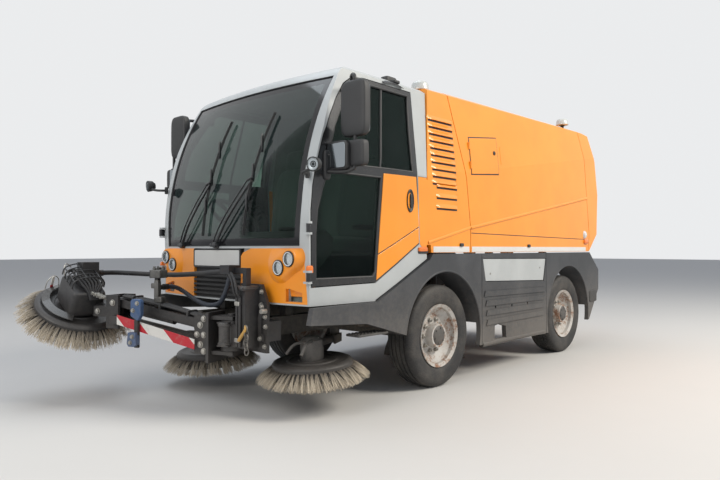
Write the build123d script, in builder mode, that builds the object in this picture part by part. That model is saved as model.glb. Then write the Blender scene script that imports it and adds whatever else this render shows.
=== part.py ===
from build123d import *
from math import atan2, cos, degrees, hypot, radians, sin, tan
import os

# Compact street sweeper, millimetres.
# While the machine is laid out, x points to its left side, y to its rear and z up, with the ground
# at z = 0 and the front axle at y = 0. At the very end every piece is shifted by the same amount,
# so that the origin lies at the middle of the underside of the whole machine's box.

# Driving dimensions of the chassis and the wheels
wheelbase = 2140.0
tyre_diameter = 766.0
tyre_width = 222.0
rim_diameter = 470.0
bead_diameter = 444.0
track_half = 711.0
rail_inner = 300.0
rail_wall = 80.0
rail_bottom = 470.0
rail_height = 120.0
running_gap = 0.05
panel_gap = 6.0
seat_gap = 0.3

# Driving dimensions of the body
body_half = 850.0
moulding_proud = 20.0
moulding_wall = 40.0
body_bottom = 1000.0
arch_radius = 478.0
arch_depth = 230.0
cab_wall = 45.0
cab_bottom = 690.0
cab_rear = -215.0
cab_rear_top = -118.0
cab_front = -1395.0
cab_taper = 38.0
taper_start = -560.0
cab_bulge_radius = 5000.0
cab_belt = 1560.0
cab_top = 2215.0
cab_lean = 85.0
roof_edge = 30.0
hopper_wall = 40.0
hopper_floor = 60.0
hopper_lean = 70.0
gate_wall = 60.0
rear_overhang = 522.0

# Driving dimensions of the brooms
side_disc_radius = 262.0
side_tip_radius = 374.0
front_disc_radius = 275.0
front_tip_radius = 388.0
bristle_height = 148.0
bristle_thickness = 34.0
disc_thickness = 30.0

moulding_half = body_half + moulding_proud
cab_front_half = body_half - cab_taper
cab_top_half = body_half - cab_lean
hopper_top_half = body_half - hopper_lean
body_rear = wheelbase + rear_overhang
axle_z = tyre_diameter / 2
rail_top = rail_bottom + rail_height
rail_outer = rail_inner + rail_wall
pieces = []
cords = ("hose_bundle", "hose_loop")


def finish(piece, name):
    """Labels a finished piece and keeps it for export."""
    piece.label = name
    pieces.append(piece)
    return piece


def side_slab(points, x0, x1):
    """A slab across the machine from x0 to x1 whose side view has the corners (y, z)."""
    with BuildPart() as slab:
        with BuildSketch(Plane.YZ.offset(x0)):
            with BuildLine():
                Polyline(*points, close=True)
            make_face()
        extrude(amount=x1 - x0)
    return slab.part


def block(x0, x1, y0, y1, z0, z1):
    """A plain block between two corners."""
    with BuildPart() as solid:
        with BuildSketch(Plane.XY.offset(z0)):
            with Locations(((x0 + x1) / 2, (y0 + y1) / 2)):
                Rectangle(x1 - x0, y1 - y0)
        extrude(amount=z1 - z0)
    return solid.part


def rod(start, end, radius, bore=0.0):
    """A round bar, or a tube with a bore, from one point to another."""
    start = Vector(*start)
    end = Vector(*end)
    with BuildPart() as bar:
        with BuildSketch(Plane(origin=start, z_dir=end - start)):
            Circle(radius)
            if bore:
                Circle(bore, mode=Mode.SUBTRACT)
        extrude(amount=(end - start).length)
    return bar.part


def pipe(points, radius, bends):
    """A round pipe along straight runs joined by tangent arcs."""
    with BuildPart() as tube:
        with BuildLine() as path:
            FilletPolyline(*points, radius=bends)
        start = path.line @ 0
        with BuildSketch(Plane(origin=start, z_dir=path.line % 0)):
            Circle(radius)
        sweep()
    return tube.part


def both_sides(part):
    """The left-hand part together with its mirror image."""
    with BuildPart() as pair:
        add(part)
        mirror(part, about=Plane.YZ)
    return pair.part


def mirrored(part):
    """The right-hand twin of a left-hand part."""
    return mirror(part, about=Plane.YZ)


# Cab shape: a side profile turned about a far upright axis gives the bulged windscreen, and it is
# trimmed by the front view, with its lean-in above the belt, and by the plan with its taper.
bulge_axis_y = cab_front + cab_bulge_radius


cab_end = cab_rear_top + 160
rear_lean = side_slab([(cab_rear, cab_bottom - 40), (cab_rear, cab_belt), (cab_rear_top, cab_top),
                       (cab_rear_top, cab_top + 40), (cab_end + 40, cab_top + 40),
                       (cab_end + 40, cab_bottom - 40)], -body_half - 40, body_half + 40)


def front_body(inset):
    """The cab's side profile turned about the far axis, drawn in at the front and the top by the inset."""
    front = cab_front + inset
    top = cab_top - inset
    half_turn = degrees(atan2(body_half + 40, bulge_axis_y - cab_end))
    start = radians(half_turn)
    out = Vector(-sin(start), -cos(start), 0)
    section = Plane(origin=(0, bulge_axis_y, 0), x_dir=out, z_dir=out.cross(Vector(0, 0, 1)))
    reach = bulge_axis_y
    with BuildPart() as turned_body:
        with BuildSketch(section):
            with BuildLine():
                low = (reach - front, cab_bottom)
                sill = (reach - front, 1045)
                brow = (reach + 1120 - 0.9 * inset, 2120 - inset)
                crown = (reach + 985, top)
                Line(low, sill)
                ThreePointArc(sill, (reach + 1352 - 0.98 * inset, 1550), brow)
                ThreePointArc(brow, (reach + 1072 - 0.8 * inset, 2180 - inset), crown)
                Polyline(crown, (reach - cab_end, top), (reach - cab_end, cab_bottom), low)
            make_face()
        revolve(axis=Axis((0, bulge_axis_y, 0), (0, 0, 1)), revolution_arc=2 * half_turn)
    return turned_body.part


def cab_solid(inset):
    """The cab's outer shape, made smaller all round by the inset."""
    front = cab_front + inset
    top = cab_top - inset
    with BuildPart() as front_view:
        with BuildSketch(Plane.XZ.offset(-cab_end)):
            with BuildLine():
                Polyline(
                    (body_half - inset, cab_bottom),
                    (body_half - inset, cab_belt),
                    (cab_top_half - inset, top - roof_edge),
                    (cab_top_half - 45 - inset, top),
                    (-cab_top_half + 45 + inset, top),
                    (-cab_top_half + inset, top - roof_edge),
                    (-body_half + inset, cab_belt),
                    (-body_half + inset, cab_bottom),
                    close=True,
                )
            make_face()
        extrude(amount=cab_end - cab_front + 100)
    with BuildPart() as plan_view:
        with BuildSketch(Plane.XY.offset(cab_bottom)) as plan:
            with BuildLine():
                Polyline(
                    (body_half - inset, cab_end),
                    (body_half - inset, taper_start),
                    (cab_front_half - inset, front - 5),
                    (-cab_front_half + inset, front - 5),
                    (-body_half + inset, taper_start),
                    (-body_half + inset, cab_end),
                    close=True,
                )
            make_face()
            fillet(plan.vertices().group_by(Axis.Y)[0], radius=95 - inset / 2)
        extrude(amount=cab_top - cab_bottom + 50)
    return ((front_body(inset) & front_view.part) & plan_view.part) - rear_lean


cab_outer = cab_solid(0)
cab_inner = cab_solid(cab_wall)
cab_shell = cab_outer - cab_inner
glass_layer = cab_solid(10) - cab_solid(16)

cab_room = cab_solid(cab_wall + seat_gap)

# The front wall is two layers deep: the orange panel lies in the outer one, and behind a door's front
# flange the inner part of the pillar stays
panel_depth = 25.0
flange = 14.0
front_skin = front_body(0) - front_body(panel_depth)
pillar_core = (front_body(0) - front_body(cab_wall)) & cab_solid(flange + panel_gap)
pillar_space = (front_body(0) - front_body(cab_wall + panel_gap)) & cab_solid(flange)


def circle_through(a, b, c):
    """The centre and radius of the circle through three points (y, z)."""
    ax, ay = a
    bx, by = b
    cx, cy = c
    d = 2 * (ax * (by - cy) + bx * (cy - ay) + cx * (ay - by))
    ux = ((ax**2 + ay**2) * (by - cy) + (bx**2 + by**2) * (cy - ay) + (cx**2 + cy**2) * (ay - by)) / d
    uy = ((ax**2 + ay**2) * (cx - bx) + (bx**2 + by**2) * (ax - cx) + (cx**2 + cy**2) * (bx - ax)) / d
    return ux, uy, hypot(ax - ux, ay - uy)


def screen_y(x, z):
    """The outer windscreen surface's y at a place across and up."""
    cy, cz, r = circle_through((cab_front, 1045), (-1352, 1550), (-1120, 2120))
    middle = cy - (r**2 - (z - cz) ** 2) ** 0.5
    return bulge_axis_y - ((bulge_axis_y - middle) ** 2 - x**2) ** 0.5


def side_x(y, z):
    """The cab side's x at a place along and up."""
    plan = body_half - max(0.0, taper_start - y) * cab_taper / (taper_start - cab_front)
    lean = body_half - max(0.0, z - cab_belt) * cab_lean / (cab_top - roof_edge - cab_belt)
    return min(plan, lean)


# Side view outlines of the door and its window, as (y, z), and the windscreen's front view, as (x, z)
door_outline = [(-1318, 800), (-1322, 1264), (-1308, 1412), (-1288, 1510), (-1225, 1721), (-1160, 1854),
                (-1088, 1978), (-1009, 2085), (-930, 2140), (-800, 2160), (-300, 2160), (-325, 1545),
                (-305, 1064), (-766, 808)]
door_low_glass = [(-1280, 850), (-1280, 1117), (-1267, 1266), (-1222, 1411), (-1178, 1505), (-712, 1505),
                  (-731, 1291), (-766, 880), (-790, 850)]
door_high_glass = [(-1196, 1560), (-1123, 1790), (-1008, 1985), (-915, 2100), (-860, 2122), (-345, 2122),
                   (-368, 1840), (-378, 1570)]
screen_low_half = cab_front_half - 72.0
screen_belt_half = cab_front_half - 60.0
screen_top_half = cab_top_half - 20.0
screen_outline = [(-screen_low_half, 1048), (screen_low_half, 1048), (screen_belt_half, 1300),
                  (screen_belt_half, 1560), (screen_top_half, 2128), (-screen_top_half, 2128),
                  (-screen_belt_half, 1560), (-screen_belt_half, 1300)]


def outline_prism(points, gap, x0, x1):
    """A prism across the machine on a side view outline that is drawn in by a gap."""
    with BuildPart() as prism:
        with BuildSketch(Plane.YZ.offset(x0)):
            with BuildLine():
                Polyline(*points, close=True)
            make_face()
            if gap:
                offset(amount=-gap, kind=Kind.INTERSECTION)
        extrude(amount=x1 - x0, dir=(1, 0, 0))
    return prism.part


def front_prism(points, y0, y1):
    """A prism along the machine on a front view outline of corners (x, z)."""
    with BuildPart() as prism:
        with BuildSketch(Plane.XZ.offset(-y1)):
            with BuildLine():
                Polyline(*points, close=True)
            make_face()
        extrude(amount=y1 - y0)
    return prism.part


side_reach = moulding_half + 40
side_start = body_half - 250
roof_half = cab_top_half - 125
roof_front = -900.0
roof_rear = -300.0
door_hole = outline_prism(door_outline, 0, side_start, side_reach) - pillar_core
screen_hole = front_prism(screen_outline, cab_front - 60, roof_front)
front_panel_top = 1035.0
cab_floor_z = cab_bottom + 40.0
corner_outline = [(-319, 1545), (-150, 1545), (-150, 1008), (-210, 982), (-290, 1057), (-299, 1064)]
recess_left = 231.0
recess_right = -319.0
panel_top_half = cab_front_half - 54.0
panel_foot_half = cab_front_half - 12.0
panel_outline = [(-panel_foot_half, 700), (-panel_foot_half, 720), (-panel_top_half - 14, 1015),
                 (-panel_top_half, front_panel_top), (panel_top_half, front_panel_top),
                 (panel_top_half + 14, 1015), (panel_foot_half, 720), (panel_foot_half, 700)]
lamp_radius = 45.0
lamp_outer_x = cab_front_half - 116.0
lamp_inner_x = cab_front_half - 211.0


def lamp_rods(radius):
    """The four round lamps' bodies, or with a larger radius their holes."""
    rods = rod((lamp_outer_x, -1388, 971), (lamp_outer_x, -1324, 971), radius)
    rods += rod((lamp_inner_x, -1388, 917), (lamp_inner_x, -1324, 917), radius)
    return both_sides(rods)


recess_block = block(recess_right, recess_left, cab_front - 60, -1349, cab_bottom + 10, front_panel_top)
low_openings = both_sides(front_prism(
    [(cab_front_half - 180, 712), (cab_front_half - 50, 712), (cab_front_half - 52, 768),
     (cab_front_half - 150, 790), (cab_front_half - 180, 790)], cab_front - 60, -1250))

# Door hinges: barrels on the door turn on pins that stand in the frame's lugs
hinge_x = body_half - 18
hinge_y = -1352.0
hinge_pin = 8.0
hinge_barrel = 14.0
hinge_length = 50.0
hinge_heights = (840.0, 1130.0)

# Silver cab frame: pillars, roof edge, rear hoop, sills and the band under the doors
with BuildPart() as cab_frame:
    add(cab_shell)
    add(both_sides(door_hole), mode=Mode.SUBTRACT)
    add(screen_hole, mode=Mode.SUBTRACT)
    add(block(-roof_half, roof_half, roof_front, roof_rear, cab_top - cab_wall - 40, cab_top + 60),
        mode=Mode.SUBTRACT)
    add(front_skin & front_prism(panel_outline, cab_front - 60, -1240), mode=Mode.SUBTRACT)
    add(lamp_rods(lamp_radius + seat_gap), mode=Mode.SUBTRACT)
    add(recess_block, mode=Mode.SUBTRACT)
    add(low_openings, mode=Mode.SUBTRACT)
    low_cut = side_slab([(-766, 600), (-766, 698), (-212, 962), (-150, 1008), (0, 1008), (0, 600)],
                        side_start, side_reach)
    add(both_sides(low_cut), mode=Mode.SUBTRACT)
    corner = side_slab(corner_outline, side_start, side_reach)
    add(both_sides(corner), mode=Mode.SUBTRACT)
    for z in hinge_heights:
        lugs = (rod((hinge_x, hinge_y, z - 14), (hinge_x, hinge_y, z + hinge_length + 14), hinge_pin)
                + block(hinge_x - 38, hinge_x + hinge_pin, hinge_y - 8, hinge_y + 22, z - 14, z - 1)
                + block(hinge_x - 38, hinge_x + hinge_pin, hinge_y - 8, hinge_y + 22, z + hinge_length + 1,
                        z + hinge_length + 14))
        add(both_sides(lugs))
finish(cab_frame.part, "cab_frame")

# Roof panel set into the frame's edge
with BuildPart() as cab_roof:
    add(cab_shell & block(-roof_half + seat_gap, roof_half - seat_gap, roof_front + seat_gap,
                          roof_rear - seat_gap, cab_top - cab_wall - 40, cab_top + 60))
finish(cab_roof.part, "cab_roof")

# Windscreen
with BuildPart() as windscreen:
    add(glass_layer & screen_hole)
finish(windscreen.part, "windscreen")

# Doors: a frame with the rear panel, and the panes
for side in ("left", "right"):
    shut = outline_prism(door_outline, panel_gap, side_start, side_reach) - pillar_space
    low_hole = outline_prism(door_low_glass, 0, side_start, side_reach)
    high_hole = outline_prism(door_high_glass, 0, side_start, side_reach)
    with BuildPart() as door:
        add(cab_shell & shut)
        add(low_hole, mode=Mode.SUBTRACT)
        add(high_hole, mode=Mode.SUBTRACT)
        for z in hinge_heights:
            add(block(hinge_x - 28, hinge_x, hinge_y + 38, hinge_y + 56, z, z + hinge_length))
            add(block(hinge_x - 8, hinge_x + 6, hinge_y, hinge_y + 56, z, z + hinge_length))
            add(rod((hinge_x, hinge_y, z), (hinge_x, hinge_y, z + hinge_length), hinge_barrel))
            add(rod((hinge_x, hinge_y, z - 1), (hinge_x, hinge_y, z + hinge_length + 1),
                    hinge_pin + running_gap), mode=Mode.SUBTRACT)
    with BuildPart() as panes:
        add(glass_layer & low_hole)
        add(glass_layer & high_hole)
    door_left = door.part
    door_part = door.part if side == "left" else mirrored(door.part)
    pane_part = panes.part if side == "left" else mirrored(panes.part)
    finish(door_part, "door_" + side)
    finish(pane_part, "door_glass_" + side)

# Front panels on both sides of the plate's recess, with a slanting corner beside the plate
with BuildPart() as front_panel:
    with BuildSketch(Plane.XZ.offset(-cab_front + 60)):
        with BuildLine():
            Polyline(*panel_outline, close=True)
        make_face()
        offset(amount=-seat_gap, kind=Kind.INTERSECTION)
    extrude(amount=-160)
    add((front_body(0) - front_body(panel_depth - seat_gap)) & cab_outer, mode=Mode.INTERSECT)
    add(recess_block, mode=Mode.SUBTRACT)
    add(front_prism([(recess_left - 5, 978), (253, 1008), (318, 1030), (330, 1040), (recess_left - 5, 1040)],
                    cab_front - 60, -1240), mode=Mode.SUBTRACT)
    add(lamp_rods(lamp_radius + seat_gap), mode=Mode.SUBTRACT)
    add(both_sides(outline_prism(door_outline, 0, side_start, side_reach)), mode=Mode.SUBTRACT)
    add(low_openings, mode=Mode.SUBTRACT)
finish(front_panel.part, "front_panel")

# Round lamps in their cups
with BuildPart() as headlamps:
    add(lamp_rods(lamp_radius))
finish(headlamps.part, "headlamps")

# Dark panel behind the plate, with the plate's holder
with BuildPart() as number_plate:
    add(block(recess_right + seat_gap, recess_left - seat_gap, -1365, -1350, cab_bottom + 10 + seat_gap,
              front_panel_top - seat_gap))
    add(block(-47 - 267, -47 + 267, -1383, -1365, 908, 1031))
finish(number_plate.part, "number_plate")

# Cab floor, toe board and rear wall
with BuildPart() as cab_tub:
    add(cab_room & block(-side_reach, side_reach, -1290, -238, cab_bottom, cab_floor_z))
    add(block(-cab_front_half + 90, cab_front_half - 90, -1290, -1255, cab_bottom + 5, 860))
    add(cab_room & block(-side_reach, side_reach, -278, -238, cab_floor_z, 2300))
    tunnel = rod((moulding_half - 330, 0, axle_z), (side_reach, 0, axle_z), arch_radius + 22)
    add(both_sides(tunnel), mode=Mode.SUBTRACT)
finish(cab_tub.part, "cab_tub")

# Seats: two buckets with cushions on their pedestals
with BuildPart() as seats:
    for x in (-385, 385):
        add(block(x - 190, x + 190, -880, -460, cab_floor_z, 985))
        add(block(x - 235, x + 235, -930, -420, 985, 1100))
        back = side_slab([(-480, 1100), (-370, 1100), (-315, 1720), (-400, 1720)], x - 220, x + 220)
        add(back)
finish(seats.part, "seats")

# Dashboard with the column's tube, and the steering wheel on its shaft
wheel_x = -385.0
column_foot = Vector(wheel_x, -1120, 1110)
column_lean = Vector(0, 0.62, 0.78).normalized()
column_length = 190.0
shaft_radius = 20.0
hub_place = column_foot + column_lean * column_length
dash_half = cab_front_half - 67
dash_radius = cab_bulge_radius - cab_wall - 4
dash_end_y = bulge_axis_y - (dash_radius**2 - dash_half**2) ** 0.5
with BuildPart() as dashboard:
    with BuildSketch(Plane.XY.offset(860)):
        with BuildLine():
            ThreePointArc((-dash_half, dash_end_y), (0, bulge_axis_y - dash_radius), (dash_half, dash_end_y))
            Polyline((dash_half, dash_end_y), (dash_half, -1000), (-dash_half, -1000),
                     (-dash_half, dash_end_y))
        make_face()
    extrude(amount=400)
    add(side_slab([(-1400, 1075), (-1265, 1120), (-1130, 1150), (-1060, 1100), (-1080, 1000), (-1200, 900),
                   (-1255, 860), (-1400, 860)], -dash_half, dash_half), mode=Mode.INTERSECT)
    add(rod(column_foot, column_foot + column_lean * (column_length - 30), shaft_radius + 14))
    add(rod(column_foot + column_lean * 20, hub_place, shaft_radius + running_gap), mode=Mode.SUBTRACT)
finish(dashboard.part, "dashboard")

with BuildPart() as steering_wheel:
    add(rod(column_foot + column_lean * 30, hub_place + column_lean * 8, shaft_radius))
    with BuildSketch(Plane(origin=hub_place, z_dir=column_lean)):
        Circle(55)
        Rectangle(400, 34)
        Rectangle(34, 400)
        Circle(190, mode=Mode.INTERSECT)
    extrude(amount=16)
    rim_plane = Plane(origin=hub_place + column_lean * 8, x_dir=(1, 0, 0),
                      z_dir=Vector(1, 0, 0).cross(column_lean))
    with BuildSketch(rim_plane):
        with Locations((198, 0)):
            Circle(15)
    revolve(axis=Axis(hub_place + column_lean * 8, column_lean))
finish(steering_wheel.part, "steering_wheel")

# Engine cover behind the cab: two sides and the top, with the corner panels beside the doors
cover_front = cab_rear + 8
cover_front_top = cab_rear_top + 8
cover_side = [(cover_front_top, 2225), (130, 2232), (307, 1571), (363, 1192), (363, 1003), (-158, 1003),
              (-165, 1045), (cover_front, 1545), (cover_front, cab_belt)]


def body_wedge(inset):
    """The lean-in of the hopper's and the cover's sides: a loft from the front to the rear view."""
    stations = [(-300, 1541, hopper_top_half - 3, 2232), (wheelbase + 860, 2040, body_half - 24, 2285)]
    with BuildPart() as wedge:
        for y, crease, top_half, top in stations:
            with BuildSketch(Plane.XZ.offset(-y)):
                with BuildLine():
                    Polyline(
                        (body_half - inset, 900),
                        (body_half - inset, crease),
                        (top_half - inset, top - 25 - inset),
                        (top_half - 40 - inset, top - inset),
                        (-top_half + 40 + inset, top - inset),
                        (-top_half + inset, top - 25 - inset),
                        (-body_half + inset, crease),
                        (-body_half + inset, 900),
                        close=True,
                    )
                make_face()
        loft(ruled=True)
    return wedge.part


wedge_outer = body_wedge(0)
with BuildPart() as engine_cover:
    add(wedge_outer & side_slab(cover_side, -side_reach, side_reach))
    hollow = [(cover_front - 60, 900), (cover_front - 60, 2180), (460, 2200), (460, 900)]
    add(body_wedge(30) & side_slab(hollow, -side_reach, side_reach), mode=Mode.SUBTRACT)
    corner_fill = cab_shell & outline_prism(corner_outline, 3, side_start, side_reach)
    add(both_sides(corner_fill))
    joiner = side_slab([(cab_rear - 1, 1530), (cover_front + 1, 1530), (-160, 1060), (cab_rear - 1, 1060)],
                       body_half - 30, body_half)
    add(both_sides(joiner))
finish(engine_cover.part, "engine_cover")

# Engine with its radiator and fan, one plain block at its real place
with BuildPart() as engine_block:
    add(block(-280, 280, -150, 320, rail_bottom + 20, 1180))
    for y in (-110, 260):
        add(block(-rail_inner + seat_gap, rail_inner - seat_gap, y - 30, y + 30, rail_bottom + 30,
                  rail_top - 20))
finish(engine_block.part, "engine_block")

# Tipping: the pivot lies under the rear seam, and the rams stand between the rails. Foot and eye of a ram
# are as far from the pivot, so that its barrel turns by exactly half of the hopper's angle.
tip_pivot_y = body_rear - 12
tip_pivot_z = 960.0
pivot_x = 340.0
pivot_pin = 20.0
cylinder_x = 230.0
eye_y = tip_pivot_y - 599
eye_z = 950.0
ram_reach = hypot(eye_y - tip_pivot_y, eye_z - tip_pivot_z)
ram_angle = atan2(eye_z - tip_pivot_z, eye_y - tip_pivot_y) + radians(60)
foot_y = tip_pivot_y + ram_reach * cos(ram_angle)
foot_z = tip_pivot_z + ram_reach * sin(ram_angle)
ram_length = hypot(eye_y - foot_y, eye_z - foot_z)

# Tailgate hinges on the hopper's roof edge
gate_axis_y = body_rear - 188
gate_axis_z = 2288.0
hinge_span = 60.0
gate_hinges = (-500.0, -30.0, 440.0)

# Hopper: a hollow bin with an inclined front wall
hopper_side = [(138, 2238), (315, 1571), (371, 1192), (371, 1003), (body_rear, 1003), (body_rear + 34, 1174),
               (body_rear - 88, 1965), (body_rear - 192, 2262)]
hopper_room = [(190, 2300), (350, 1590), (411, 1200), (411, 1003 + hopper_floor),
               (body_rear + 240, 1003 + hopper_floor), (body_rear + 240, 2300)]
with BuildPart() as hopper:
    add(wedge_outer & side_slab(hopper_side, -side_reach, side_reach))
    add(body_wedge(hopper_wall) & side_slab(hopper_room, -side_reach, side_reach), mode=Mode.SUBTRACT)
    add(rod((0, 900, 980), (0, 900, 1100), 135), mode=Mode.SUBTRACT)
    for hand in (1, -1):
        lug_x = pivot_x * hand
        lug = side_slab([(tip_pivot_y - 60, 1010), (tip_pivot_y - 34, tip_pivot_z),
                         (tip_pivot_y + 30, tip_pivot_z), (tip_pivot_y + 10, 1010)], lug_x - 15, lug_x + 15)
        add(lug)
        add(rod((lug_x - 15, tip_pivot_y, tip_pivot_z), (lug_x + 15, tip_pivot_y, tip_pivot_z), 36))
        add(rod((lug_x - 20, tip_pivot_y, tip_pivot_z), (lug_x + 20, tip_pivot_y, tip_pivot_z),
                pivot_pin + running_gap), mode=Mode.SUBTRACT)
        for x in (cylinder_x - 46, cylinder_x + 30):
            x0, x1 = sorted((x * hand, (x + 16) * hand))
            add(side_slab([(eye_y - 60, 1010), (eye_y - 30, eye_z - 30), (eye_y + 30, eye_z - 30),
                           (eye_y + 60, 1010)], x0, x1))
    for x in gate_hinges:
        for shift in (-14, hinge_span):
            lug_side = [(gate_axis_y - 44, 2250), (gate_axis_y - 44, gate_axis_z + 12),
                        (gate_axis_y + 12, gate_axis_z + 12),
                        (gate_axis_y + 12, gate_axis_z - 12), (gate_axis_y - 12, 2262),
                        (gate_axis_y - 12, 2250)]
            add(side_slab(lug_side, x + shift, x + shift + 13))
        add(rod((x - 14, gate_axis_y, gate_axis_z), (x + hinge_span + 13, gate_axis_y, gate_axis_z), 10))
finish(hopper.part, "hopper")

# Tailgate: a bulged cap hinged at its upper edge
gate_side = [(body_rear - 184, 2262), (body_rear - 80, 1965), (body_rear + 42, 1174), (body_rear + 8, 1003),
             (body_rear + 38, 1012), (body_rear + 239, 1188), (body_rear + 267, 1617),
             (body_rear + 193, 1973), (body_rear + 60, 2239)]
gate_room = [(body_rear - 262, 2190), (body_rear - 88, 1965), (body_rear + 8, 1120), (body_rear + 88, 1135),
             (body_rear + 178, 1215), (body_rear + 204, 1610), (body_rear + 133, 1945),
             (body_rear + 23, 2178)]
with BuildPart() as tailgate:
    add(wedge_outer & side_slab(gate_side, -side_reach, side_reach))
    add(side_slab(gate_room, -body_half + gate_wall, body_half - gate_wall), mode=Mode.SUBTRACT)
    for x in gate_hinges:
        add(block(x + 1, x + hinge_span - 1, gate_axis_y, gate_axis_y + 60, gate_axis_z - 4,
                  gate_axis_z + 12))
        add(block(x + 1, x + hinge_span - 1, gate_axis_y + 40, gate_axis_y + 60, 2240, gate_axis_z + 4))
        add(rod((x + 1, gate_axis_y, gate_axis_z), (x + hinge_span - 1, gate_axis_y, gate_axis_z), 18))
        add(rod((x, gate_axis_y, gate_axis_z), (x + hinge_span, gate_axis_y, gate_axis_z), 10 + running_gap),
            mode=Mode.SUBTRACT)
finish(tailgate.part, "tailgate")

# Beacons on short feet
beacon_x = hopper_top_half - 140
beacon_y = -15.0
hopper_beacon_x = hopper_top_half - 90
hopper_beacon_y = body_rear - 262
with BuildPart() as cab_beacon:
    add(rod((beacon_x, beacon_y, 2200), (beacon_x, beacon_y, 2252), 50) - engine_cover.part)
    add(rod((beacon_x, beacon_y, 2252), (beacon_x, beacon_y, 2325), 72))
finish(cab_beacon.part, "cab_beacon")
with BuildPart() as hopper_beacon:
    add(rod((hopper_beacon_x, hopper_beacon_y, 2255), (hopper_beacon_x, hopper_beacon_y, 2330), 18)
        - hopper.part)
    add(rod((hopper_beacon_x, hopper_beacon_y, 2330), (hopper_beacon_x, hopper_beacon_y, 2400), 65))
finish(hopper_beacon.part, "hopper_beacon")

# Dark side mouldings with the wheel arches, cut from one side outline
moulding = [(-1370, 585), (-1345, 684), (-766, 688), (-205, 952), (-165, 995), (body_rear - 7, 995),
            (body_rear + 234, 806), (body_rear + 228, 600), (body_rear - 22, 290), (body_rear - 102, 275),
            (wheelbase - 540, 240), (520, 262), (480, 262), (-470, 439), (-884, 555)]


def arch_tool(y, radius, x0, x1):
    """The round space of a wheel arch."""
    return rod((x0, y, axle_z), (x1, y, axle_z), radius)


def moulding_part(y0, y1):
    """One stretch of the side moulding with its share of the arches and their liners."""
    outside = moulding_half
    inside = moulding_half - moulding_wall
    with BuildPart() as stretch:
        add(side_slab(moulding, inside, outside) & block(inside, outside, y0, y1, 0, 1300))
        add(arch_tool(0, arch_radius, inside - 1, outside + 1), mode=Mode.SUBTRACT)
        add(arch_tool(wheelbase, arch_radius, inside - 1, outside + 1), mode=Mode.SUBTRACT)
    return stretch.part


def arch_liner(y, low, y0, y1):
    """A wheel arch's liner, a thin band over the tyre, open below the height low."""
    band = rod((moulding_half - arch_depth, y, axle_z), (moulding_half - 2, y, axle_z), arch_radius + 14,
               arch_radius)
    return band & block(moulding_half - arch_depth - 1, side_reach, y0, y1, low, 1300)


front_end = arch_radius + 20.0
rear_start = wheelbase - arch_radius - 20.0
plate_start = front_end + 24
plate_end = rear_start - 8
skirt_end = rear_start - panel_gap
with BuildPart() as front_fenders:
    left = moulding_part(-1500, front_end) + arch_liner(0, 440, -600, front_end)
    add(both_sides(left))
finish(front_fenders.part, "front_fenders")

# Skirts: pressed ribs stand out of them, and a tube runs along their foot
rib_depth = 9.0
ribs = [(0, 668, 1, 655), (20, 590, -20, 584), (30, 512, -30, 512), (34, 434, -34, 440)]
with BuildPart() as skirts:
    skirt = moulding_part(front_end + panel_gap, skirt_end)
    for start, z0, end, z1 in ribs:
        y0 = front_end + 30 + start
        y1 = skirt_end - 30 + end
        skirt += side_slab([(y0, z0 - 22), (y1, z1 - 22), (y1 - 16, z1 + 22), (y0 + 16, z0 + 22)],
                           moulding_half - 1, moulding_half + rib_depth)
    notch = side_slab([(690, 225), (700, 396), (760, 408), (880, 380), (895, 225)],
                      moulding_half - moulding_wall - 1, side_reach)
    skirt -= notch
    for y, z in ((712, 551), (985, 548), (1268, 548)):
        skirt -= rod((moulding_half - moulding_wall - 1, y, z), (side_reach, y, z), 11)
    skirt -= side_slab([(plate_start - 6, 956), (plate_end + 6, 944), (plate_end - 44, 735),
                        (plate_start + 38, 765)],
                       moulding_half - 36 - seat_gap, side_reach)
    skirt += rod((moulding_half - 20, front_end + 22, 262), (moulding_half - 20, rear_start - 42, 262), 24)
    add(both_sides(skirt))
finish(skirts.part, "skirts")
with BuildPart() as side_panels:
    plate = side_slab([(plate_start, 950), (plate_end, 938), (plate_end - 48, 741), (plate_start + 44, 771)],
                      moulding_half - 36, moulding_half - 6)
    add(both_sides(plate))
finish(side_panels.part, "side_panels")
with BuildPart() as rear_fenders:
    left = (moulding_part(rear_start, body_rear + 338)
            + arch_liner(wheelbase, 440, rear_start, body_rear + 38))
    add(both_sides(left))
finish(rear_fenders.part, "rear_fenders")

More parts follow.
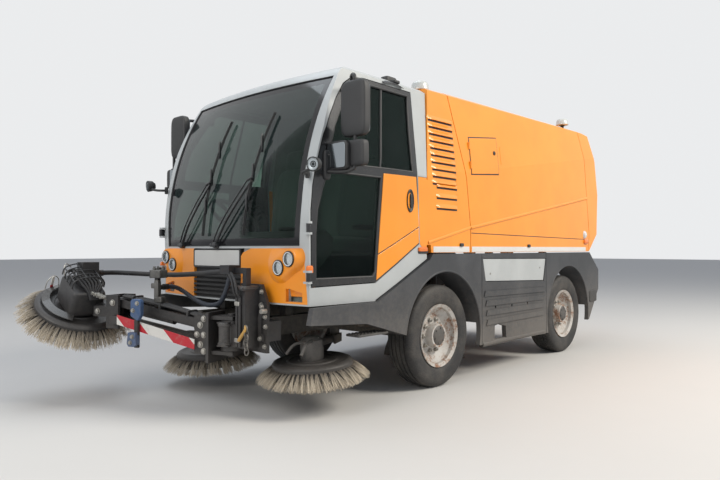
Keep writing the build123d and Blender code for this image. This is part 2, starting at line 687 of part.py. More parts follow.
# Chassis frame: rails, cross members, outriggers, mounts and the rams' brackets, each its own solid
tow_half = 40.0
tow_z = 520.0
tow_thickness = 25.0
tow_bore = 17.0
frame_front = -1330.0
frame_rear = body_rear + 118
cross_members = [-1290, -560, 520, wheelbase - 640, wheelbase + 310, wheelbase + 560]
outriggers = [-560, 700, wheelbase - 640, wheelbase + 560]
mount_places = [-1100, -420, 520]
ram_cross = wheelbase + 310
frame_solids = []
for hand in (1, -1):
    x0, x1 = sorted((rail_inner * hand, rail_outer * hand))
    frame_solids.append(block(x0, x1, frame_front, frame_rear, rail_bottom, rail_top))
    for y in mount_places:
        top = cab_bottom if y < 0 else body_bottom
        frame_solids.append(block(pivot_x * hand - 30, pivot_x * hand + 30, y - 30, y + 30, rail_top, top))
    for y in outriggers:
        x0, x1 = sorted((rail_outer * hand, (moulding_half - moulding_wall) * hand))
        frame_solids.append(block(x0, x1, y - 25, y + 25, rail_top - 70, rail_top))
    with BuildPart() as pivot_bracket:
        for x in (rail_inner, rail_outer - 20):
            x0, x1 = sorted((x * hand, (x + 20) * hand))
            add(side_slab([(tip_pivot_y - 110, rail_top), (tip_pivot_y - 30, tip_pivot_z),
                           (tip_pivot_y + 30, tip_pivot_z), (tip_pivot_y + 100, rail_top)], x0, x1))
            add(rod((x0, tip_pivot_y, tip_pivot_z), (x1, tip_pivot_y, tip_pivot_z), 36))
        x0, x1 = sorted((rail_inner * hand, rail_outer * hand))
        add(rod((x0, tip_pivot_y, tip_pivot_z), (x1, tip_pivot_y, tip_pivot_z), pivot_pin))
    frame_solids.append(pivot_bracket.part)
    with BuildPart() as ram_bracket:
        for x in (cylinder_x - 46, cylinder_x + 30):
            x0, x1 = sorted((x * hand, (x + 16) * hand))
            add(side_slab([(foot_y - 30, foot_z - 30), (foot_y + 30, foot_z - 30),
                           (ram_cross + 35, rail_bottom - 30), (ram_cross + 35, rail_bottom + 10),
                           (ram_cross - 30, rail_bottom + 10), (foot_y + 45, foot_z + 30),
                           (foot_y - 30, foot_z + 30)], x0, x1))
        x0, x1 = sorted(((cylinder_x - 46) * hand, (cylinder_x + 46) * hand))
        add(rod((x0, foot_y, foot_z), (x1, foot_y, foot_z), 18))
    frame_solids.append(ram_bracket.part)
for y in cross_members:
    frame_solids.append(block(-rail_inner, rail_inner, y - 35, y + 35, rail_bottom + 10, rail_top - 10))
finish(Compound([solid for part in frame_solids for solid in part.solids()]), "chassis_frame")

# Axles with their spring packs under the rails
kingpin_x = 598.0
kingpin_radius = 20.0
boss_radius = 40.0
boss_half = 50.0
spindle_radius = 32.0
spring_width = 60.0
with BuildPart() as front_axle:
    add(block(-kingpin_x, kingpin_x, -35, 35, axle_z - 40, axle_z + 30))
    for hand in (1, -1):
        x = kingpin_x * hand
        add(rod((x, 0, axle_z - boss_half), (x, 0, axle_z + boss_half), boss_radius))
        add(rod((x, 0, axle_z - 100), (x, 0, axle_z + 100), kingpin_radius + running_gap),
            mode=Mode.SUBTRACT)
        pack = side_slab([(-420, rail_bottom), (-420, rail_bottom - 20), (-60, axle_z + 30),
                          (60, axle_z + 30),
                          (420, rail_bottom - 20), (420, rail_bottom), (380, rail_bottom), (60, axle_z + 60),
                          (-60, axle_z + 60), (-380, rail_bottom)], 340 - 30, 340 + 30)
        add(pack if hand > 0 else mirrored(pack))
finish(front_axle.part, "front_axle")
with BuildPart() as rear_axle:
    add(rod((-640, wheelbase, axle_z), (640, wheelbase, axle_z), 48))
    add(rod((-90, wheelbase, axle_z), (90, wheelbase, axle_z), 120))
    for hand in (1, -1):
        add(rod((640 * hand, wheelbase, axle_z), (800 * hand, wheelbase, axle_z), spindle_radius))
        pack = side_slab([(wheelbase - 420, rail_bottom), (wheelbase - 420, rail_bottom - 20),
                          (wheelbase - 60, axle_z + 40), (wheelbase + 60, axle_z + 40),
                          (wheelbase + 420, rail_bottom - 20), (wheelbase + 420, rail_bottom),
                          (wheelbase + 380, rail_bottom), (wheelbase + 60, axle_z + 70),
                          (wheelbase - 60, axle_z + 70), (wheelbase - 380, rail_bottom)], 340 - 30, 340 + 30)
        add(pack if hand > 0 else mirrored(pack))
finish(rear_axle.part, "rear_axle")

# Steering knuckles: two ears on the kingpin, and the spindle
ear = 22.0
ear_gap = 0.5
for side, hand in (("left", 1), ("right", -1)):
    x = kingpin_x
    with BuildPart() as knuckle:
        z_low = axle_z - boss_half - ear_gap - ear
        z_high = axle_z + boss_half + ear_gap
        add(rod((x, 0, z_low), (x, 0, z_high + ear), kingpin_radius))
        for z in (z_low, z_high):
            add(rod((x, 0, z), (x, 0, z + ear), boss_radius))
            add(block(x, x + 75, -30, 30, z, z + ear))
        add(block(x + boss_radius + 6, x + 75, -45, 45, z_low, z_high + ear))
        add(rod((x + 75, 0, axle_z), (800, 0, axle_z), spindle_radius))
        add(block(x + 45, x + 70, -160, -30, z_low, z_low + ear))
    part = knuckle.part if hand > 0 else mirrored(knuckle.part)
    finish(part, "knuckle_" + side)

# Wheels: the tyre and the dished rim are turned about the axle
wheel_table = [("front_left", 1, 0.0, 30.0), ("front_right", -1, 0.0, 30.0),
               ("rear_left", 1, wheelbase, 30.0), ("rear_right", -1, wheelbase, 30.0)]
for name, hand, y, dish in wheel_table:
    centre = Vector(track_half * hand, y, axle_z)
    section = Plane(origin=centre, x_dir=(0, 0, 1), z_dir=(0, hand, 0))
    axis = Axis(centre, (1, 0, 0))
    half = tyre_width / 2
    outer = tyre_diameter / 2
    bead = bead_diameter / 2
    with BuildPart() as tyre:
        with BuildSketch(section):
            with BuildLine():
                Polyline((bead, -half + 22), (outer - 60, -half), (outer - 18, -half + 12),
                         (outer, -half + 42), (outer, half - 42), (outer - 18, half - 12),
                         (outer - 60, half), (bead, half - 22),
                         (bead + 22, half - 30), (outer - 60, half - 26), (outer - 60, -half + 26),
                         (bead + 22, -half + 30), close=True)
            make_face()
        revolve(axis=axis)
    finish(tyre.part, "tyre_" + name)
    rim_half = half - 22
    with BuildPart() as rim:
        with BuildSketch(section):
            with BuildLine():
                Polyline((spindle_radius + running_gap, -30), (spindle_radius + running_gap, 92),
                         (88, 92), (92, 34), (150, 24), (200, dish + 25), (bead - 12, dish + 30),
                         (bead - 12, rim_half),
                         (rim_diameter / 2, rim_half + 14), (rim_diameter / 2, rim_half + 4),
                         (bead, rim_half), (bead, -rim_half), (rim_diameter / 2, -rim_half - 4),
                         (rim_diameter / 2, -rim_half - 14),
                         (bead - 12, -rim_half), (bead - 12, dish + 12), (200, dish + 7), (150, 6),
                         (88, 14), (88, -30), close=True)
            make_face()
        revolve(axis=axis)
    finish(rim.part, "rim_" + name)

# Suction mouth between the axles and its duct up to the hopper floor
duct_radius = 120.0
with BuildPart() as suction_nozzle:
    add(side_slab([(700, 20), (1080, 20), (1060, 90), (980, 260), (820, 260), (720, 90)], -330, 330))
    add(side_slab([(725, 0), (1055, 0), (1035, 80), (965, 235), (835, 235), (745, 80)], -305, 305),
        mode=Mode.SUBTRACT)
    add(rod((0, 900, 235), (0, 900, body_bottom), duct_radius))
    add(block(-rail_inner + seat_gap, rail_inner - seat_gap, 870, 930, rail_bottom + 20, rail_bottom + 60))
    add(rod((0, 900, 200), (0, 900, body_bottom + 40.0), duct_radius - 12), mode=Mode.SUBTRACT)
finish(suction_nozzle.part, "suction_nozzle")

# Rear bumper beam with its towing eye
bumper_half = moulding_half - moulding_wall - 5
bumper_y = frame_rear + 10
bumper_rear = bumper_y + 80
tow_rear_y = bumper_rear + 20
with BuildPart() as rear_bumper:
    add(block(-bumper_half, bumper_half, bumper_y, bumper_rear, 460, 620))
    for hand in (1, -1):
        x0, x1 = sorted((rail_inner * hand, rail_outer * hand))
        add(block(x0, x1, frame_rear, bumper_y, rail_bottom, rail_top))
    add(block(-tow_half, tow_half, bumper_rear, bumper_rear + 45, tow_z, tow_z + tow_thickness))
    add(rod((0, tow_rear_y, tow_z - 10), (0, tow_rear_y, tow_z + tow_thickness + 10), tow_bore),
        mode=Mode.SUBTRACT)
finish(rear_bumper.part, "rear_bumper")

# Front broom carrier: a chamfered bolt plate with its curved arm, an upright box with two pipes in
# clamps, the fixed swing housing and the block that the hoses leave
swing_x = 316.0
swing_y = -1520.0
swing_low = 405.0
swing_high = 592.0
housing_radius = 64.0
front_broom_place = Vector(-865, -1960, 640)
reach_vector = Vector(front_broom_place.X - swing_x, front_broom_place.Y - swing_y, 0)
arm_plane = Plane(origin=(swing_x, swing_y, 0), x_dir=reach_vector, z_dir=(0, 0, 1))
side_of_arm = arm_plane.y_dir


def on_arm(along, across, z):
    """A point given along the arm from the swing axis, across it and by its height."""
    flat = arm_plane.from_local_coords((along, across, z))
    return Vector(flat.X, flat.Y, flat.Z)


def arm_block(a0, a1, c0, c1, z0, z1):
    """A block laid out along the arm."""
    with BuildPart() as solid:
        with BuildSketch(arm_plane.offset(z0)):
            with Locations(((a0 + a1) / 2, (c0 + c1) / 2)):
                Rectangle(a1 - a0, c1 - c0)
        extrude(amount=z1 - z0)
    return solid.part


def arm_rod(a0, c0, z0, a1, c1, z1, radius):
    """A round bar between two points laid out along the arm."""
    return rod(on_arm(a0, c0, z0), on_arm(a1, c1, z1), radius)




# The two free hoses' routes, in arm coordinates (along, across, z)
loop_radius = 16.0
loop_points = [(30, -20, 860), (115, -90, 690), (290, -170, 650), (440, -225, 680), (540, -215, 745),
               (578, -165, 778), (578, -100, 778)]
bundle_radius = 18.0
bundle_points = [(68, -40, 890), (440, -150, 856), (830, -250, 850), (1065, -262, 856), (1145, -190, 862),
                 (1145, -100, 862)]
gland_extra = 4.0
gland_length = 40.0
hose_gap = 0.2


def route_of(points):
    """A hose's points in the machine's frame."""
    return [on_arm(*point) for point in points]


def glands(points, radius):
    """The two short sleeves in which a hose ends, the near one first."""
    near, after, before, far = (route_of(points)[i] for i in (0, 1, -2, -1))
    out = (far - before).normalized()
    return (rod(near, near + (near - after).normalized() * gland_length, radius + gland_extra),
            rod(far + out * hose_gap, far + out * gland_length, radius + gland_extra))


pipe_radius = 10.0
with BuildPart() as broom_carrier:
    add(front_prism([(300, 400), (560, 400), (560, 700), (505, 815), (300, 815)], -1440, -1420))
    add(block(rail_inner, 560, -1420, frame_front, rail_bottom, rail_top))
    add(block(406, 482, -1548, -1440, 430, 780))
    add(block(396, 488, -1566, -1440, 780, 800))
    add(front_prism([(500, 470), (540, 470), (540, 505), (522, 520), (522, 600), (552, 660), (552, 700),
                     (520, 700), (492, 610), (492, 500)], -1458, -1440))
    for x in (418, 446):
        add(rod((x, -1556, 440), (x, -1556, 740), pipe_radius))
    for z in (470, 690):
        add(block(408, 456, -1568, -1540, z, z + 22))
    add(rod((swing_x, swing_y, swing_low), (swing_x, swing_y, swing_high), housing_radius))
    add(block(swing_x, 410, swing_y - 40, swing_y + 40, swing_low + 30, swing_high - 20))
    add(rod((swing_x, swing_y, swing_low - 60), (swing_x, swing_y, swing_high + 60), 25 + running_gap),
        mode=Mode.SUBTRACT)
    add(block(425, 460, -1520, -1485, 780, 915))
    add(block(330, 460, -1520, -1485, 880, 915))
    add(block(250, 345, -1565, -1480, 875, 930))
    add(glands(loop_points, loop_radius)[0])
    add(glands(bundle_points, bundle_radius)[0])
finish(broom_carrier.part, "broom_carrier")

# Swing bracket: two plates round the housing joined by a web with the link ears
link_root = 175.0
link_length = 700.0
link_drop = 115.0
link_high_z = 560.0
link_low_z = 440.0
link_end = link_root + link_length
pin_radius = 16.0
eye_radius = 32.0
ear_half = 62.0
eye_half = 46.0
bracket_top = 640.0
bracket_bottom = 330.0
with BuildPart() as swing_bracket:
    add(arm_block(-45, 130, -60, 60, swing_high + 3, swing_high + 25))
    add(arm_block(-45, 130, -60, 60, swing_low - 25, swing_low - 3))
    add(arm_block(110, 130, -90, 90, bracket_bottom, bracket_top))
    add(arm_rod(0, 0, swing_low - 40, 0, 0, swing_high + 40, 25))
    for across in (-ear_half - 20, ear_half):
        add(arm_block(130, link_root + 45, across, across + 20, 380, 620))
    for z in (link_high_z, link_low_z):
        add(arm_rod(link_root, -ear_half - 20, z, link_root, ear_half + 20, z, pin_radius))
finish(swing_bracket.part, "swing_bracket")


def link(z_root, z_end, name, fitting=None):
    """One of the two parallel links: an eye at each end of two flat bars, and a fitting if it has one."""
    with BuildPart() as bar:
        for a, z in ((link_root, z_root), (link_end, z_end)):
            add(arm_rod(a, -eye_half, z, a, eye_half, z, eye_radius))
        for across in (-eye_half, eye_half - 16):
            with BuildSketch(Plane(origin=on_arm(0, across, 0), x_dir=arm_plane.x_dir, z_dir=-side_of_arm)):
                with BuildLine():
                    Polyline((link_root, z_root - 26), (link_end, z_end - 26), (link_end, z_end + 26),
                             (link_root, z_root + 26), close=True)
                make_face()
            extrude(amount=-16)
        for a, z in ((link_root, z_root), (link_end, z_end)):
            add(arm_rod(a, -eye_half - 5, z, a, eye_half + 5, z, pin_radius + running_gap),
                mode=Mode.SUBTRACT)
        if fitting is not None:
            add(fitting)
    return finish(bar.part, name)


# The valve on its post above the upper link. Each hose arrives along the links' pins, so that its end
# slides over the gland's flat face as the arm lifts
valve = (arm_block(555, 595, -eye_half, eye_half, 612, 652) + arm_block(562, 588, -14, 14, 640, 845)
         + arm_block(520, 605, -30, 42, 842, 892) + arm_rod(578, -70, 778, 578, 0, 778, loop_radius)
         + glands(loop_points, loop_radius)[1])
link(link_high_z, link_high_z + link_drop, "upper_link", valve)
link(link_low_z, link_low_z + link_drop, "lower_link")

# End bracket of the links, with the tilt pin of the broom head
tilt_along = link_end + 130.0
tilt_z = link_low_z + link_drop + 60.0
with BuildPart() as end_bracket:
    for across in (-ear_half - 20, ear_half):
        add(arm_block(link_end - 45, link_end + 56, across, across + 20, link_low_z + link_drop - 50,
                      link_high_z + link_drop + 50))
    add(arm_block(link_end + 40, link_end + 56, -ear_half, ear_half, link_low_z + link_drop - 50,
                  link_high_z + link_drop + 50))
    for z in (link_high_z + link_drop, link_low_z + link_drop):
        add(arm_rod(link_end, -ear_half - 20, z, link_end, ear_half + 20, z, pin_radius))
    for across in (-ear_half - 20, ear_half):
        add(arm_block(link_end + 56, tilt_along + 35, across, across + 20, tilt_z - 35, tilt_z + 35))
    add(arm_rod(tilt_along, -ear_half - 20, tilt_z, tilt_along, ear_half + 20, tilt_z, pin_radius))
finish(end_bracket.part, "end_bracket")

# Striped warning board in front of the links, held by the end bracket
board_start = link_root + 15.0
board_end = link_end - 75.0
board_low = 415.0
board_rise = 125.0
board_height = 62.0
post_along = link_end - 253.0
with BuildPart() as warning_bar:
    with BuildSketch(Plane(origin=on_arm(0, 118, 0), x_dir=arm_plane.x_dir, z_dir=-side_of_arm)):
        with BuildLine():
            Polyline((board_start, board_low), (board_end, board_low + board_rise),
                     (board_end, board_low + board_rise + board_height),
                     (board_start, board_low + board_height), close=True)
        make_face()
    extrude(amount=-6)
    add(arm_block(board_end - 22, link_end - 5, 108, 118, board_low + board_rise - 5,
                  board_low + board_rise + board_height - 10))
    add(arm_block(link_end - 32, link_end - 5, ear_half + 20, 118, board_low + board_rise - 5,
                  board_low + board_rise + board_height - 10))
    add(arm_block(post_along - 14, post_along + 14, 124, 148, 400, 690))
    add(arm_block(post_along - 48, post_along + 32, 130, 160, 600, 712))
    add(arm_block(post_along - 20, post_along + 55, 130, 168, 410, 500))
finish(warning_bar.part, "warning_bar")

# Front broom head: the tilting plate, the motor and its cover above the disc
tilt = 30.0
spin_axis = Vector(sin(radians(tilt)), 0, cos(radians(tilt)))
spin_side = Vector(cos(radians(tilt)), 0, -sin(radians(tilt)))


def turned(centre, axis_dir, side_dir, outline):
    """A solid of revolution from an outline of (radius, height along the axis)."""
    with BuildPart() as solid:
        with BuildSketch(Plane(origin=centre, x_dir=side_dir, z_dir=side_dir.cross(axis_dir))):
            with BuildLine():
                Polyline(*outline, close=True)
            make_face()
        revolve(axis=Axis(centre, axis_dir))
    return solid.part


def broom(centre, axis_dir, side_dir, disc_radius, tip_radius):
    """A broom: the flanged disc with its hub hole, and the flared ring of bristles under it."""
    outline = [
        (40, 0), (disc_radius - 30, 0), (disc_radius, -18), (disc_radius, -40),
        (tip_radius, -bristle_height + 12), (tip_radius - 50, -bristle_height),
        (disc_radius - 90, -50), (disc_radius - 90, -disc_thickness), (40, -disc_thickness),
    ]
    return turned(centre, axis_dir, side_dir, outline)


def broom_motor(centre, axis_dir, side_dir, radius, height):
    """The motor housing with the shaft that the disc runs on."""
    outline = [(0, 6), (radius, 6), (radius, height), (radius - 30, height + 20), (0, height + 20)]
    return turned(centre, axis_dir, side_dir, outline) + turned(
        centre, axis_dir, side_dir, [(0, 6), (40 - running_gap, 6), (40 - running_gap, -disc_thickness - 8),
                                     (0, -disc_thickness - 8)])


with BuildPart() as broom_head:
    add(broom_motor(front_broom_place, spin_axis, spin_side, 115, 170))
    neck = on_arm(tilt_along, 0, tilt_z)
    add(arm_rod(tilt_along, -ear_half + 6, tilt_z, tilt_along, ear_half - 6, tilt_z, 30))
    add(rod(neck, front_broom_place + spin_axis * 60, 40))
    add(block(-820, -725, -1990, -1880, 790, 940))
    add(arm_rod(1145, -70, 862, 1145, 0, 862, bundle_radius))
    add(glands(bundle_points, bundle_radius)[1])
    add(arm_rod(tilt_along, -ear_half - 5, tilt_z, tilt_along, ear_half + 5, tilt_z,
                pin_radius + running_gap), mode=Mode.SUBTRACT)
finish(broom_head.part, "broom_head")
finish(broom(front_broom_place, spin_axis, spin_side, front_disc_radius, front_tip_radius), "front_broom")


def hose(points, radius, name):
    """A free hose along its route, with corners as round as its runs allow, and its radii printed."""
    route = route_of(points)
    radii = []
    for before, corner, after in zip(route, route[1:], route[2:]):
        run = min((corner - before).length, (after - corner).length)
        turn = radians((corner - before).get_angle(after - corner))
        radii.append(0.45 * run / tan(turn / 2))
    print(name, "radii", [round(r) for r in radii])
    with BuildPart() as tube:
        with BuildLine() as path:
            FilletPolyline(*route, radius=radii)
        with BuildSketch(Plane(origin=route[0], z_dir=route[1] - route[0])):
            Circle(radius)
        sweep(path=path.line)
    return finish(tube.part, name)


hose(loop_points, loop_radius, "hose_loop")
hose(bundle_points, bundle_radius, "hose_bundle")

# Side brooms under the cab: a swing post, a lowering arm with the motor, and the broom
side_broom_x = 565.0
side_broom_y = -1070.0
side_heights = {"left": 318.0, "right": 262.0}
post_x = 340.0
post_y = -640.0
post_low = 400.0
for side, hand in (("left", 1), ("right", -1)):
    disc_z = side_heights[side]
    centre = Vector(side_broom_x, side_broom_y, disc_z)
    forward_tilt = radians(4)
    up = Vector(0, -sin(forward_tilt), cos(forward_tilt))
    across = Vector(1, 0, 0)
    out = Vector(side_broom_x - post_x, side_broom_y - post_y, 0).normalized()
    lift_place = Vector(post_x, post_y, 0) + out * 90
    lift_z = post_low - 5
    lift_side = Vector(-out.Y, out.X, 0)
    pin0 = Vector(lift_place.X, lift_place.Y, lift_z)
    with BuildPart() as swing:
        add(rod((post_x, post_y, lift_z - 35), (post_x, post_y, rail_bottom - seat_gap), 34))
        for shift in (-44, 30):
            with BuildSketch(Plane(origin=Vector(post_x, post_y, lift_z - 30), x_dir=out, z_dir=(0, 0, 1))):
                with Locations((60, shift + 7)):
                    Rectangle(130, 14)
            extrude(amount=60)
        with BuildSketch(Plane(origin=Vector(post_x, post_y, lift_z - 30), x_dir=out, z_dir=(0, 0, 1))):
            Rectangle(60, 88)
        extrude(amount=60)
        add(rod(pin0 - lift_side * 44, pin0 + lift_side * 44, pin_radius))
    with BuildPart() as arm:
        add(rod(pin0 - lift_side * 24, pin0 + lift_side * 24, 28))
        add(rod(pin0 + out * 10, centre + up * 90, 26))
        add(broom_motor(centre, up, across, 75, 130))
        add(rod(pin0 - lift_side * 60, pin0 + lift_side * 60, pin_radius + running_gap), mode=Mode.SUBTRACT)
    rotor = broom(centre, up, across, side_disc_radius, side_tip_radius)
    for part, name in ((swing.part, "broom_post_"), (arm.part, "broom_arm_"), (rotor, "side_broom_")):
        finish(part if hand > 0 else mirrored(part), name + side)

# Mirrors on the doors: rounded housings on a bent tube
mirror_x = body_half + 150
mirror_table = [(mirror_x, -1130, 1868, 100, 35, 170, 40), (mirror_x + 6, -1132, 1600, 84, 30, 79, 26),
                (mirror_x - 82, -1170, 1588, 56, 24, 84, 20)]


def rounded_housing(x, y, z, half_x, half_y, half_z, corner):
    """A housing with round upright edges and softened front and back."""
    with BuildPart() as housing:
        with BuildSketch(Plane.XZ.offset(-y + half_y)):
            with Locations((x, z)):
                RectangleRounded(2 * half_x, 2 * half_z, corner)
        extrude(amount=-2 * half_y)
        chamfer(housing.faces().filter_by(Axis.Y).sort_by(Axis.Y)[0].edges(), length=12)
    return housing.part


for side, hand in (("left", 1), ("right", -1)):
    with BuildPart() as mirrors:
        add(pipe([(side_x(-955, 2060) - 10, -955, 2060), (body_half + 35, -955, 2065),
                  (mirror_x - 40, -1130, 2075),
                  (mirror_x, -1135, 1960), (mirror_x, -1135, 1580), (mirror_x - 30, -1175, 1535),
                  (side_x(-1195, 1535) - 10, -1195, 1535)], 12, (30, 40, 40, 30, 30)) - door_left)
        for row in mirror_table:
            add(rounded_housing(*row))
        add(block(mirror_x - 60, mirror_x - 20, -1165, -1150, 1560, 1620))
    finish(mirrors.part if hand > 0 else mirrored(mirrors.part), "mirrors_" + side)

# Wipers on the windscreen
with BuildPart() as wipers:
    for x0, x1 in ((-470, -60), (-20, 390)):
        stand = [(x0, 1058), (x0 + (x1 - x0) * 0.25, 1260), (x0 + (x1 - x0) * 0.5, 1480),
                 (x0 + (x1 - x0) * 0.75, 1700), (x1, 1900)]
        route = [(x, screen_y(x, z) - 16, z) for x, z in stand]
        add(pipe(route, 9, (200, 200, 200)))
        add(rod((x0, screen_y(x0, 1058) + 8, 1058), (x0, screen_y(x0, 1058) - 30, 1058), 22)
            - cab_frame.part)
finish(wipers.part, "wipers")

# Tipping rams: the barrels turn on the foot pins, and the rods carry the eyes under the hopper's floor
ram_dir = Vector(0, (eye_y - foot_y) / ram_length, (eye_z - foot_z) / ram_length)
barrel_radius = 40.0
ram_rod = 24.0
with BuildPart() as tip_barrel:
    for hand in (1, -1):
        foot = Vector(cylinder_x * hand, foot_y, foot_z)
        add(rod(foot - Vector(26, 0, 0), foot + Vector(26, 0, 0), 32))
        add(rod(foot + ram_dir * 20, foot + ram_dir * 80, ram_rod))
        add(rod(foot + ram_dir * 75, foot + ram_dir * 520, barrel_radius))
        add(rod(foot + ram_dir * 90, foot + ram_dir * 530, ram_rod + running_gap), mode=Mode.SUBTRACT)
        add(rod(foot - Vector(30, 0, 0), foot + Vector(30, 0, 0), 18 + running_gap), mode=Mode.SUBTRACT)
finish(tip_barrel.part, "tip_barrel")
with BuildPart() as tip_rod:
    for hand in (1, -1):
        foot = Vector(cylinder_x * hand, foot_y, foot_z)
        eye = foot + ram_dir * ram_length
        add(rod(foot + ram_dir * 95, eye - ram_dir * 10, ram_rod))
        add(rod(eye - Vector(26, 0, 0), eye + Vector(26, 0, 0), 30))
        add(rod(eye - Vector(30, 0, 0), eye + Vector(30, 0, 0), 18), mode=Mode.SUBTRACT)
finish(tip_rod.part, "tip_rod")

# The middle of the whole machine's underside becomes the origin
boxes = [piece.bounding_box() for piece in pieces if piece.label not in cords]
low = [min(box.min.X for box in boxes), min(box.min.Y for box in boxes)]
high = [max(box.max.X for box in boxes), max(box.max.Y for box in boxes)]
middle_x = (low[0] + high[0]) / 2
middle_y = (low[1] + high[1]) / 2
print("origin at", middle_x, middle_y)
shift = Location((-middle_x, -middle_y, 0))
os.makedirs("parts", exist_ok=True)
for piece in pieces:
    name = piece.label
    placed = piece.moved(shift)
    placed.label = name
    export_step(placed, "parts/" + name + ".step")
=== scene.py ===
"""Compact street sweeper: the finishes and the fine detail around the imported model."""

import logging
from collections.abc import Sequence
from dataclasses import dataclass, field
from enum import Enum

import bmesh
import bpy
import numpy as np
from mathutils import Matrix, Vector


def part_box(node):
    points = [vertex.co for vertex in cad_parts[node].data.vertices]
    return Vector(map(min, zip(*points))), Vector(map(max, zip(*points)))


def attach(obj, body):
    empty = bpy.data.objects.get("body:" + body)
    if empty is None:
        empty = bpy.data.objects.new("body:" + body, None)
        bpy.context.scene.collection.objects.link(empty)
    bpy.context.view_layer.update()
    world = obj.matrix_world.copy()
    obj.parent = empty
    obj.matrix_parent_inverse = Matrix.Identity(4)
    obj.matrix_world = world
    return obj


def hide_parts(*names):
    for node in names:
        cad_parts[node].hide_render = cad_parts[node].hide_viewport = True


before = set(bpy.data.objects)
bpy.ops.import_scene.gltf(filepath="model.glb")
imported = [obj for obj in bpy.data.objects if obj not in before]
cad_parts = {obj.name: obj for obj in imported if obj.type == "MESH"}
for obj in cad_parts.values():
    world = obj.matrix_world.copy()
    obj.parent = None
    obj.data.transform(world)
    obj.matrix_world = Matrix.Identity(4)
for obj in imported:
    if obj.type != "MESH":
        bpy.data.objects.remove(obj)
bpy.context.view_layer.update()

log = logging.getLogger("sweeper")

# Places are written in millimetres: x to the machine's left, y to its rear, z up from the ground, with
# the front axle at y = 0. The axle's box says where that point lies in the frame, in metres. Where a
# sub-assembly says no more, its pieces are given for the left side.
MILLIMETRE = 0.001
AXLE_LOW, AXLE_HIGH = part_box("front_axle")
ORIGIN = np.array([(AXLE_LOW.x + AXLE_HIGH.x) / 2, (AXLE_LOW.y + AXLE_HIGH.y) / 2, 0.0])
WHEELBASE = (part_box("rear_axle")[0].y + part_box("rear_axle")[1].y) / 2 / MILLIMETRE - ORIGIN[1] / MILLIMETRE
X_AXIS, Y_AXIS, Z_AXIS = np.eye(3)
HERE = (0.0, 0.0, 0.0)
WHEEL_RADIUS = 383.0
BODY_HALF = 850.0
SWING_AXIS = (316.0, -1520.0)
FRONT_BROOM = (-865.0, -1960.0, 640.0)
FRONT_BROOM_LEAN = 30.0
SIDE_BROOM_DIP = 4.0


def metres(points: np.ndarray) -> np.ndarray:
    """Places in the layout, in millimetres, as places in the frame, in metres."""
    return np.asarray(points, float) * MILLIMETRE + ORIGIN


def unit(vector: Sequence[float]) -> np.ndarray:
    """The vector at length one."""
    vector = np.asarray(vector, float)
    return vector / np.linalg.norm(vector)


class Side(Enum):
    """The machine's two sides, with the sign of x on each."""

    LEFT = 1
    RIGHT = -1

    @property
    def word(self) -> str:
        """The side's name as the bodies and nodes have it."""
        return self.name.lower()

    @property
    def broom(self) -> tuple[float, float, float]:
        """The side broom's place, given for the left: the right one is at work and so stands lower."""
        return 565.0, -1070.0, 318.0 if self is Side.LEFT else 262.0


# Shapes

@dataclass(frozen=True)
class Shape:
    """A mesh in layout millimetres: its points, and its faces in one array for each number of corners."""

    points: np.ndarray
    faces: tuple[np.ndarray, ...]

    def __add__(self, other: "Shape") -> "Shape":
        """Both shapes in one mesh."""
        shifted = tuple(face + len(self.points) for face in other.faces)
        return Shape(np.vstack((self.points, other.points)), self.faces + shifted)

    def moved(self, by: Sequence[float]) -> "Shape":
        """The shape shifted by a vector."""
        return Shape(self.points + np.asarray(by, float), self.faces)

    def scaled(self, by: Sequence[float]) -> "Shape":
        """The shape stretched along the axes about the origin."""
        return Shape(self.points * np.asarray(by, float), self.faces)

    def mirrored(self) -> "Shape":
        """The twin on the machine's other side."""
        return Shape(self.points * (-1.0, 1.0, 1.0), tuple(face[:, ::-1] for face in self.faces))

    def on(self, side: Side) -> "Shape":
        """The left-hand shape as it is on a side."""
        return self if side is Side.LEFT else self.mirrored()

    def both(self) -> "Shape":
        """The left-hand shape together with its twin."""
        return self + self.mirrored()

    def at(self, places: Sequence[Sequence[float]]) -> "Shape":
        """A copy at each of the places: every point is added to every place."""
        places = np.atleast_2d(np.asarray(places, float))
        points = (places[:, None, :] + self.points[None]).reshape(-1, 3)
        first = (np.arange(len(places)) * len(self.points))[:, None, None]
        return Shape(points, tuple((face[None] + first).reshape(-1, face.shape[1]) for face in self.faces))

    def framed(self, origin: Sequence[float], x_dir: Sequence[float], z_dir: Sequence[float]) -> "Shape":
        """The shape carried from its own axes to an origin, an x direction and a z direction."""
        z = unit(z_dir)
        x = unit(np.asarray(x_dir, float) - np.dot(x_dir, z) * z)
        turn = np.stack((x, np.cross(z, x), z))
        return Shape(self.points @ turn + np.asarray(origin, float), self.faces)


def joined(shapes: Sequence[Shape]) -> Shape:
    """All the shapes in one mesh."""
    whole = shapes[0]
    for shape in shapes[1:]:
        whole = whole + shape
    return whole


def surface(points: np.ndarray, wrap_u: bool = False, wrap_v: bool = False) -> Shape:
    """A grid of points as four-cornered faces: point (i, j) joins (i + 1, j) and (i, j + 1).

    Args:
        points: an array of rows, columns and coordinates.
        wrap_u: whether the last row joins the first.
        wrap_v: whether the last column joins the first.
    """
    rows, columns = points.shape[:2]
    i = np.arange(rows if wrap_u else rows - 1)[:, None]
    j = np.arange(columns if wrap_v else columns - 1)[None, :]
    next_i, next_j = (i + 1) % rows, (j + 1) % columns
    corners = (i * columns + j, next_i * columns + j, next_i * columns + next_j, i * columns + next_j)
    return Shape(points.reshape(-1, 3), (np.stack([c.ravel() for c in corners], 1),))


